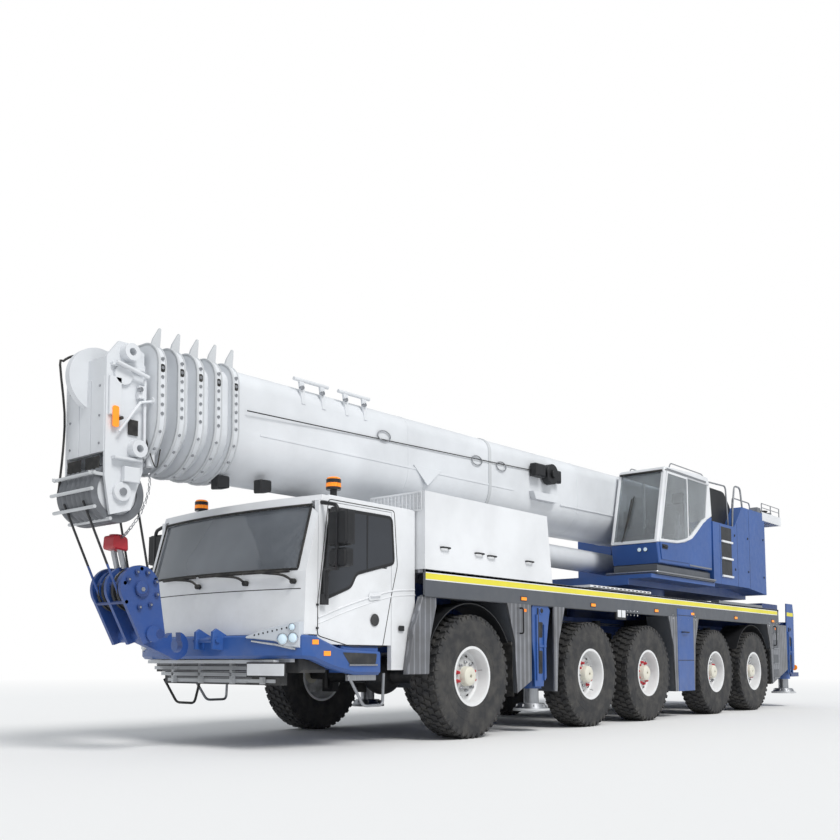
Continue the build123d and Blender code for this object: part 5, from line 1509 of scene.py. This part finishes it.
for x in (CC_IN + 0.05, CC_OUT - 0.05):
    path = [(x, y, z) for y, z in [(-0.45, 3.90), (-0.40, 3.968), (0.78, 3.968), (0.84, 3.92)]]
    roof_rails.append(tube(bent(path, 0.05), 0.010, 8))
slewed("crane_cab_roof_rails", "turntable", STEEL, roof_rails)
arm = [(0.70, -1.045, 2.69), (0.78, -0.955, 3.05), (0.83, -0.855, 3.42)]
wiper = [tube(smooth_path(arm, 6), 0.009, 8), tube([(0.74, -1.015, 2.86), (0.80, -0.875, 3.38)], 0.010, 6),
         bar(CC_IN + 0.03, CC_OUT - 0.03, -0.755, -0.725, 3.785, 3.815, 0.004)]
slewed("crane_cab_wiper", "turntable", SEAL, wiper)
seat = [plate(rounded([(-0.05, 2.78), (0.45, 2.76), (0.47, 2.88), (-0.05, 2.90)], 0.05), 0.68, 1.12, 0, 0.03),
        plate(rounded([(0.34, 2.86), (0.47, 2.86), (0.60, 3.46), (0.47, 3.47)], 0.05), 0.70, 1.10, 0, 0.03),
        plate(rounded([(0.50, 3.48), (0.58, 3.47), (0.62, 3.66), (0.54, 3.67)], 0.03), 0.80, 1.00, 0, 0.03)]
slewed("crane_cab_seat", "turntable", SEAT, seat)
console = [bar(0.60, 0.68, -0.10, 0.40, 2.70, 3.02, 0.02),
           bar(1.13, 1.21, -0.10, 0.40, 2.70, 3.02, 0.02),
           bar(0.56, 0.68, -0.72, -0.62, 2.95, 3.22, 0.01),
           bar(0.60, 1.20, -0.86, -0.60, 2.68, 2.80, 0.02)]
console += [tube([(x, 0, 3.0), (x, -0.02, 3.16)], 0.014, 8) for x in (0.64, 1.17)]
console += [disc((x, -0.02, 3.17), 0.026, 0.05, 2, 12) for x in (0.64, 1.17)]
slewed("crane_cab_console", "turntable", GRIP, console)
slewed("crane_cab_floor", "turntable", BLACK, bar(CC_IN + 0.03, CC_OUT - 0.03, -0.90, 0.70, 2.655, 2.690))
print("operator's cab made")

# %% [markdown]
# The superstructure's covers: a ladder recess, a black plate of painted shade, with rungs, cover seams
# and locks, the black lockers, bent hand rails, the white trays at the rear with their rolled hoses and
# fittings, and the rope lying turn by turn on the winch drum.

# %% Covers, tray and winch rope
COVER_X = 1.30
# A black plate painted as the shade inside the ladder recess
recess_shade = bar(COVER_X - 0.004, COVER_X + 0.002, 1.36, 1.80, 2.285, 3.150, 0.001)
slewed("ladder_recess_shade", "turntable", BLACK, both(recess_shade))
rungs = [bar(COVER_X + 0.001, COVER_X + 0.030, 1.35, 1.81, z, z + 0.035, 0.004)
         for z in (2.285, 2.590, 2.880)]
slewed("ladder_rungs", "turntable", WHITE, both(rungs))
seams = [bar(COVER_X - 0.002, COVER_X + 0.0012, y, y + 0.006, 2.15, top, 0.0004)
         for y, top in ((1.30, 3.18), (2.06, 3.28), (2.62, 3.58))]
slewed("cover_seams", "turntable", SEAL, both(seams))
cover_bits = [disc((COVER_X + 0.002, y, z), 0.022, 0.012, 0, 16) for y, z in
              ((1.95, 3.05), (1.95, 2.45), (2.55, 3.05), (2.55, 2.45), (3.30, 3.10), (3.30, 2.40))]
slewed("cover_locks", "turntable", PLASTIC, both(cover_bits))
locker = plate(rounded([(1.06, 3.16), (1.06, 3.72), (1.20, 3.86), (2.02, 3.86), (2.30, 3.62), (2.30, 3.40),
                               (1.95, 3.16)], 0.05), 0.66, 1.10, 0, 0.02)
slewed("locker", "turntable", PLASTIC, both(locker))
grille = [bar(0.70 + 0.045 * n, 0.72 + 0.045 * n, 1.050, 1.064, 3.24, 3.66, 0.003) for n in range(9)]
slewed("locker_grille", "turntable", GRIP, both(grille))
cover_rails = [tube(bent([(1.26, 1.96, 3.19), (1.26, 2.00, 3.55), (1.26, 2.10, 3.955),
                          (1.26, 2.36, 3.955), (1.26, 2.44, 3.60)], 0.08), 0.016, 10),
               tube(bent([(1.18, 1.10, 3.19), (1.18, 1.12, 3.90), (1.18, 1.90, 3.93),
                          (1.18, 1.98, 3.20)], 0.08), 0.014, 10),
               tube(bent([(1.10, 2.36, 3.60), (1.10, 2.40, 3.80), (1.10, 3.20, 3.80),
                          (1.10, 3.24, 3.60)], 0.06), 0.012, 8)]
slewed("cover_rails", "turntable", STEEL, both(cover_rails))
tray = [plate([(3.30, 3.47), (4.28, 3.47), (4.28, 3.63), (3.30, 3.63)], 1.285, 1.305, 0, 0.003),
        bar(0.50, 1.30, 4.262, 4.284, 3.47, 3.63, 0.003),
        bar(0.50, 1.30, 3.30, 4.27, 3.600, 3.612, 0.002)]
slewed("rear_trays", "turntable", WHITE, both(tray))
coil_parts = []
for centre_x, centre_y, radius in ((0.80, 3.52, 0.15), (1.10, 3.75, 0.12), (0.85, 4.02, 0.13)):
    turn = np.linspace(0, 2 * np.pi * 3.6, 110)
    wobble = radius * (1 + 0.10 * np.sin(2.3 * turn))
    coil = np.column_stack([centre_x + wobble * np.cos(turn), centre_y + wobble * np.sin(turn),
                            3.627 + turn * 0.0042])
    coil_parts.append(tube(coil, 0.013, 7))
slewed("tray_hoses", "turntable", SEAL, both(coil_parts))
tray_bits = [bar(1.05, 1.20, 3.36, 3.52, 3.612, 3.74, 0.01),
             bar(0.60, 0.72, 3.70, 3.95, 3.612, 3.70, 0.01),
             disc((1.15, 4.05, 3.66), 0.055, 0.10, 2, 18), disc((0.62, 4.12, 3.65), 0.05, 0.08, 2, 18)]
for x, y in ((1.28, 3.34), (1.28, 3.80), (1.28, 4.25), (0.55, 4.25)):
    tray_bits.append(tube([(x, y, 3.61), (x, y, 3.80)], 0.010, 8))
for z in (3.72, 3.80):
    tray_bits.append(tube([(1.28, 3.34, z), (1.28, 4.25, z)], 0.008, 8))
slewed("tray_fittings", "turntable", STEEL, both(tray_bits))
turns = 42
wave = np.linspace(0, turns * np.pi, turns * 6)
drum = np.column_stack([np.linspace(-0.43, 0.43, len(wave)), 0.262 + 0.009 * np.abs(np.sin(wave))])
slewed("winch_rope", "turntable", BLACK, revolved(drum, (0, 3.80, 3.19), 0, 48))
slewed("winch_flanges", "turntable", DARK_BLUE,
      [disc((x, 3.80, 3.19), 0.345, 0.022, 0, 40) for x in (-0.446, 0.446)])
print("covers, tray and winch made")

# %% [markdown]
# The boom. Each section is a folded tube with a half-round belly, and carries a collar with raised
# lips at its front, where the next section's wear pads sit. Pieces on it are placed by how far they
# are along the boom from its foot pin, and how far above the pin's line.

# %% Boom collars, lips and fins
BOOM_PIVOT = (5.225, 3.250)
BOOM_DROOP = radians(0.8)
COLLAR_FRONT, COLLAR_PITCH = 11.285, 0.213


def on_boom(points):
    """Points given as X, place along the boom and height above its line, turned into the crane's own
    coordinates by the boom's small downward slope."""
    points = np.asarray(points, float)
    cosine, sine = np.cos(BOOM_DROOP), np.sin(BOOM_DROOP)
    return np.stack([points[..., 0], BOOM_PIVOT[0] - points[..., 1] * cosine - points[..., 2] * sine,
                     BOOM_PIVOT[1] - points[..., 1] * sine + points[..., 2] * cosine], -1)


def boom_shape(body):
    """A shape made in boom coordinates, or a list of them, set on the boom."""
    points, counts, corners = one(body)
    return on_boom(points), counts, corners


def boom_section(inset, steps=14):
    """The boom's outline: a half circle below, straight sides, and two rounded upper corners."""
    half, top, middle = 0.46 - inset, 0.66 - inset, 0.02
    corner = max(0.19 - inset, 0.02)
    below = np.radians(np.linspace(180, 360, 2 * steps))
    right = np.radians(np.linspace(0, 90, steps))
    left = np.radians(np.linspace(90, 180, steps))
    arcs = ((0, middle, half, below), (half - corner, top - corner, corner, right),
            (corner - half, top - corner, corner, left))
    return np.concatenate([np.column_stack([x + radius * np.cos(turn), z + radius * np.sin(turn)])
                           for x, z, radius, turn in arcs])


def boom_ring(inner, outer, rear, front, bevel=0.004):
    """A raised band round the boom."""
    rings = []
    for inset, place in ((inner, rear), (outer + bevel, rear), (outer, rear + bevel), (outer, front - bevel),
                         (outer + bevel, front), (inner, front)):
        edge = boom_section(inset)
        rings.append(np.column_stack([edge[:, 0], np.full(len(edge), place), edge[:, 1]]))
    return boom_shape(loft(rings, closed=True))


SECTION_BODIES = ("boom_base", "boom_section_1", "boom_section_2", "boom_section_3", "boom_section_4")
for number, body in enumerate(SECTION_BODIES):
    front = COLLAR_FRONT + number * COLLAR_PITCH
    lips = [boom_ring(-0.020, -0.046, front - 0.024, front),
            boom_ring(-0.020, -0.036, front - 0.095, front - 0.080)]
    for sign in (-1, 1):
        fin = plate([(front - 0.100, 0.655), (front - 0.004, 0.655), (front - 0.028, 0.735),
                     (front - 0.095, 0.850), (front - 0.112, 0.842), (front - 0.108, 0.76)], sign * 0.345,
                    sign * 0.375, 0, 0.003)
        lips.append(boom_shape(fin))
    piece(f"collar_lips_{number}", body, PALE_GREY, lips, 30)
    studs = [disc((way * 0.487, front - 0.052, 0.10 + 0.085 * n), 0.016, 0.022, 0, 12)
             for n in range(-1, 6) for way in (-1, 1)]
    for angle in np.radians(np.linspace(200, 340, 8)):
        centre = (0.488 * np.cos(angle), front - 0.052, 0.02 + 0.488 * np.sin(angle))
        studs.append(disc(centre, 0.014, 0.02, 0, 10))
    piece(f"collar_studs_{number}", body, STEEL, boom_shape(studs))
    # Dark plates painted as the shade inside the collar's slots
    rear, ahead = front - 0.076, front - 0.028
    slot_edge = rounded([(rear, 0.40), (ahead, 0.40), (ahead, 0.475), (rear, 0.475)], 0.022, 3)
    slot_shades = [plate(slot_edge, sign * 0.489, sign * 0.492, 0, 0.001) for sign in (-1, 1)]
    piece(f"collar_slot_shades_{number}", body, SEAL, boom_shape(slot_shades))
print(len(SECTION_BODIES), "collars dressed")

# %% [markdown]
# On the boom's sides: a cable that runs from its drum to the first collar, thin weld strips, oval hoops,
# the brackets on its upper edge for a lattice extension, a gusset, bands, and working lamps below.

# %% Boom side pieces
side_bits, dark_bits, steel_bits = [], [], []
for y_0, y_1, above in ((6.4, 10.9, 0.02), (1.0, 5.2, -0.05)):
    side_bits.append(plate([(y_0, above - 0.012), (y_1, above - 0.012), (y_1, above + 0.012),
                            (y_0, above + 0.012)], 0.4595, 0.466, 0, 0.002))
side_bits.append(plate([(7.98, 0.06), (8.52, 0.06), (8.26, -0.16)], 0.459, 0.474, 0, 0.003))
for middle, above in ((9.05, 0.32), (7.25, 0.30), (6.70, 0.30)):
    oval = np.linspace(0, 2 * np.pi, 24, endpoint=False)
    hoop = np.column_stack([np.full(24, 0.475), middle + 0.11 * np.cos(oval), above + 0.06 * np.sin(oval)])
    steel_bits.append(tube(hoop, 0.007, 8, closed=True))
for start in (9.98, 9.32):
    for place in (start, start + 0.30):
        bracket = [(place, 0.45), (place + 0.05, 0.45), (place + 0.09, 0.70), (place + 0.02, 0.70)]
        side_bits.append(plate(bracket, 0.440, 0.468, 0, 0.003))
    side_bits.append(tube([(0.455, start - 0.04, 0.705), (0.455, start + 0.46, 0.705)], 0.020, 10))
    steel_bits += [disc((0.470, start + place, 0.62), 0.022, 0.05, 0, 16) for place in (0.06, 0.36)]
side_bits.append(plate([(5.36, 0.05), (6.02, 0.05), (5.96, -0.06), (5.42, -0.06)], 0.459, 0.54, 0, 0.004))
cable = smooth_path([(0.470, 5.75, 0.36), (0.475, 6.6, 0.335), (0.475, 8.0, 0.300), (0.475, 9.6, 0.262),
                     (0.500, 11.10, 0.225)], 8)
dark_bits.append(tube(cable, 0.006, 6))
dark_bits += [disc((0.545, 5.60, 0.33), 0.145, 0.11, 0, 32), disc((0.61, 5.60, 0.33), 0.060, 0.05, 0, 20),
              bar(0.47, 0.60, 5.78, 6.02, 0.26, 0.44, 0.02), bar(0.47, 0.56, 5.30, 5.44, 0.24, 0.42, 0.02)]
for place, below, x in ((11.20, -0.47, 0.22), (10.72, -0.46, 0.30)):
    rear, ahead = place - 0.07, place + 0.08
    outline = [(rear, below - 0.06), (ahead, below - 0.08), (ahead, below + 0.06), (rear, below + 0.06)]
    dark_bits.append(plate(rounded(outline, 0.02), x - 0.06, x + 0.06, 0, 0.01))
piece("boom_side_plates", "boom_base", BOOM_WHITE, boom_shape(side_bits))
piece("boom_side_hoops", "boom_base", STEEL, boom_shape(steel_bits))
piece("boom_cable_reel", "boom_base", PLASTIC, boom_shape(dark_bits))
bands = [boom_ring(0.004, -0.010, 6.92, 6.98, 0.002), boom_ring(0.004, -0.008, 3.10, 3.14, 0.002)]
piece("boom_band", "boom_base", PALE_GREY, bands, 30)
welds = [boom_ring(0.002, -0.003, place, place + 0.012, 0.001) for place in (8.60, 4.70)]
piece("boom_welds", "boom_base", BOOM_WHITE, welds, 30)
print("boom side pieces made")

# %% [markdown]
# The boom head: plates with bolts and seams, the rope led from the top sheave over the front and into
# the lower sheaves, rollers, guide bars, a sensor's lead, the reflector, and the limit weight that hangs
# from a chain round the rope and warns before the hook block reaches the head.

# %% Boom head
head_white, head_dark, head_steel, head_grey = [], [], [], []
for x_0, x_1 in ((-0.31, -0.10), (-0.09, 0.09), (0.10, 0.31)):
    head_white.append(bar(x_0, x_1, 12.558, 12.566, -0.38, 0.30, 0.002))
for x in (-0.24, 0.24):
    for level in (-0.30, -0.05, 0.22):
        head_steel.append(disc((x, 12.568, level), 0.012, 0.012, 1, 6, 0.002))
# Dark plates painted as the shade in the head's openings
for x_0, x_1 in ((-0.27, -0.05), (0.03, 0.25)):
    head_dark.append(bar(x_0, x_1, 12.560, 12.572, -0.545, -0.415, 0.006))
head_white += [bar(0.330, 0.372, 12.19, 12.52, 0.395, 0.425, 0.004),
               bar(0.330, 0.40, 12.22, 12.50, -0.445, -0.420, 0.004),
               bar(0.330, 0.395, 12.24, 12.40, -0.640, -0.500, 0.006),
               bar(0.330, 0.385, 12.20, 12.26, 0.14, 0.26, 0.006),
               tube([(0.40, 12.17, 0.345), (0.40, 12.50, 0.425)], 0.018, 12),
               tube([(0.372, 12.19, -0.40), (0.372, 12.19, 0.33)], 0.014, 10),
               tube([(0.385, 12.46, -0.20), (0.395, 12.25, 0.10), (0.41, 12.13, 0.13)], 0.014, 10),
               disc((0.41, 12.12, 0.135), 0.034, 0.05, 1, 16),
               bar(0.33, 0.36, 12.42, 12.54, -0.05, 0.30, 0.006),
               disc((0.345, 12.40, -0.73), 0.085, 0.05, 0, 28), disc((0.345, 12.40, 0.33), 0.09, 0.03, 0, 28)]
head_steel += [disc((0.385, 12.25, 0.22), 0.022, 0.05, 0, 12),
               disc((0.372, 12.40, -0.73), 0.035, 0.03, 0, 16)]
head_dark += [disc((0.375, 12.44, -0.075), 0.016, 0.06, 0, 12),
              bar(0.335, 0.350, 12.24, 12.34, -0.20, -0.06, 0.004)]
head_white += [tube(bent([(x, 12.30, 0.62), (x, 12.24, 0.70), (x, 12.06, 0.70)], 0.04), 0.012, 8)
               for x in (-0.20, 0.05)]
head_grey += [tube([(-0.34, place, above), (0.34, place, above)], 0.016, 10)
              for place, above in ((12.66, -0.585), (12.685, -0.73), (12.655, -0.885), (12.50, -0.975))]
head_grey += [bar(x - 0.006, x + 0.006, 12.56, 12.70, -0.60, -0.57, 0.002) for x in (-0.30, 0.30)]
piece("head_plates", "boom_head", BOOM_WHITE, boom_shape(head_white))
piece("head_window_shades", "boom_head", SEAL, boom_shape(head_dark))
piece("head_bolts", "boom_head", STEEL, boom_shape(head_steel))
piece("head_guards", "boom_head", PALE_GREY, boom_shape(head_grey))
# The reflector wears the glowing amber lens finish: a painted glow, for a reflector is no lamp.
reflector = rounded([(12.455, -0.16), (12.515, -0.16), (12.515, 0.03), (12.455, 0.03)], 0.02)
piece("head_reflector", "boom_head", AMBER, boom_shape(plate(reflector, 0.360, 0.378)))
grooves = np.linspace(-0.285, 0.285, 85)
ribs = np.column_stack([grooves, 0.2625 + 0.009 * np.abs(np.sin((grooves + 0.285) * np.pi / 0.078))])
ribs = np.concatenate([ribs, [(0.285, 0.20), (-0.285, 0.20)]])
piece("sheave_grooves", "boom_head", GRIP, boom_shape(revolved(ribs, (0, 12.40, -0.73), 0, 56, hole=True)))
rope_turn = np.radians(np.linspace(150, -35, 20))[:13]
over = np.column_stack([np.full(13, -0.29), 12.40 + 0.305 * np.cos(rope_turn),
                        0.33 + 0.305 * np.sin(rope_turn)])
head_rope = np.concatenate([[(-0.29, 12.00, 0.70)], over,
                            [(-0.29, 12.60, 0.05), (-0.285, 12.61, -0.30), (-0.25, 12.665, -0.70)]])
piece("head_rope", "boom_head", SEAL, boom_shape(tube(smooth_path(head_rope, 3), 0.011, 8)))
weight = [revolved([(-0.10, 0.028), (-0.092, 0.040), (0.06, 0.042), (0.085, 0.030), (0.10, 0.012)],
                   (0.30, AXLE_1 - 3.52, 2.72), 2, 20)]
piece("limit_weight", "boom_head", BOOM_WHITE, weight)
chain_path = smooth_path([(0.30, AXLE_1 - 3.52, 2.61), (0.305, AXLE_1 - 3.53, 2.40),
                          (0.28, AXLE_1 - 3.60, 2.18), (0.18, AXLE_1 - 3.66, 2.02),
                          (0.08, AXLE_1 - 3.66, 1.97)], 5)
links = []
for place, (point, after) in enumerate(zip(chain_path[:-1], chain_path[1:])):
    loop_turn = np.linspace(0, 2 * np.pi, 10, endpoint=False)
    way = (after - point) / np.linalg.norm(after - point)
    across_way = np.cross(way, [1.0, 0.0, 0.0] if place % 2 else [0.0, 1.0, 0.0])
    across_way /= np.linalg.norm(across_way)
    along, aside = 0.024 * np.cos(loop_turn)[:, None] * way, 0.012 * np.sin(loop_turn)[:, None] * across_way
    oval = (point + after)[None] / 2 + along + aside
    links.append(tube(oval, 0.004, 6, closed=True))
piece("limit_chain", "boom_head", STEEL, links)
lead = [(0.345, AXLE_1 - 3.60, 2.86), (0.36, AXLE_1 - 3.50, 2.62), (0.34, AXLE_1 - 3.44, 2.80)]
piece("sensor_lead", "boom_head", SEAL, tube(smooth_path(lead, 6), 0.006, 6))
print("boom head dressed")

# %% [markdown]
# The hook block: bolted bosses round the rim of each side plate, cross bars and grooved sheaves between
# the plates, and twin links up to the red cap that strikes the limit weight.

# %% Hook block
low_corner, high_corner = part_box("hook_block")
print("hook block from", [round(value, 3) for value in low_corner], "to",
      [round(value, 3) for value in high_corner])
BLOCK_Y, BLOCK_Z = AXLE_1 - 3.54, 1.50
boss_parts, bolt_parts = [], []
for sign in (-1, 1):
    for turn in np.radians([20, 62, 104, 146, 188, 300, 340]):
        centre = (sign * 0.262, BLOCK_Y + 0.165 * np.sin(turn), BLOCK_Z + 0.165 * np.cos(turn))
        boss_parts.append(disc(centre, 0.022, 0.028, 0, 16))
        bolt_parts.append(disc((centre[0] + sign * 0.016, centre[1], centre[2]), 0.011, 0.010, 0, 6, 0.001))
    boss_parts.append(disc((sign * 0.262, BLOCK_Y, BLOCK_Z), 0.070, 0.030, 0, 28))
    boss_parts.append(disc((sign * 0.262, BLOCK_Y + 0.20, BLOCK_Z - 0.40), 0.045, 0.024, 0, 20))
    bolt_parts.append(disc((sign * 0.280, BLOCK_Y, BLOCK_Z), 0.022, 0.012, 0, 6, 0.002))
piece("block_bosses", "hook_block", DARK_BLUE, boss_parts)
piece("block_bolts", "hook_block", STEEL, bolt_parts)
cross = [tube([(-0.25, BLOCK_Y + y, BLOCK_Z + z), (0.25, BLOCK_Y + y, BLOCK_Z + z)], 0.018, 12)
         for y, z in ((-0.17, 0.05), (-0.15, -0.12), (0.0, 0.19), (0.15, 0.10))]
piece("block_cross_bars", "hook_block", DARK_BLUE, cross)
link_parts = [tube(smooth_path([(x, BLOCK_Y - 0.06, BLOCK_Z + 0.20), (x, BLOCK_Y - 0.10, BLOCK_Z + 0.34),
                                (x * 0.8, BLOCK_Y - 0.12, BLOCK_Z + 0.42)], 5), 0.026, 12)
              for x in (-0.055, 0.055)]
piece("block_links", "hook_block", STEEL, link_parts)
cap = rounded([(BLOCK_Y - 0.20, 1.875), (BLOCK_Y - 0.04, 1.855), (BLOCK_Y - 0.05, 1.985),
               (BLOCK_Y - 0.19, 2.005)], 0.03)
cap_parts = [plate(cap, -0.095, 0.095, 0, 0.012), disc((0, BLOCK_Y - 0.12, 1.995), 0.060, 0.03, 2, 24)]
piece("block_cap", "hook_block", RED, cap_parts)
groove = [(-0.020, 0.155), (-0.016, 0.196), (-0.008, 0.198), (0, 0.184), (0.008, 0.198), (0.016, 0.196),
          (0.020, 0.155)]
sheaves = [revolved(groove, (x, BLOCK_Y, BLOCK_Z), 0, 40, hole=True)
           for x in (-0.156, -0.078, 0.0, 0.078, 0.156)]
piece("block_sheaves", "hook_block", BLACK, sheaves)
print("hook block dressed")

# %% [markdown]
# Last, the crane's box is measured with every added piece on it. It stays close to the box of the solid
# model, because the added pieces are only skins and small fittings.

# %% The box of the finished crane
low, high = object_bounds()
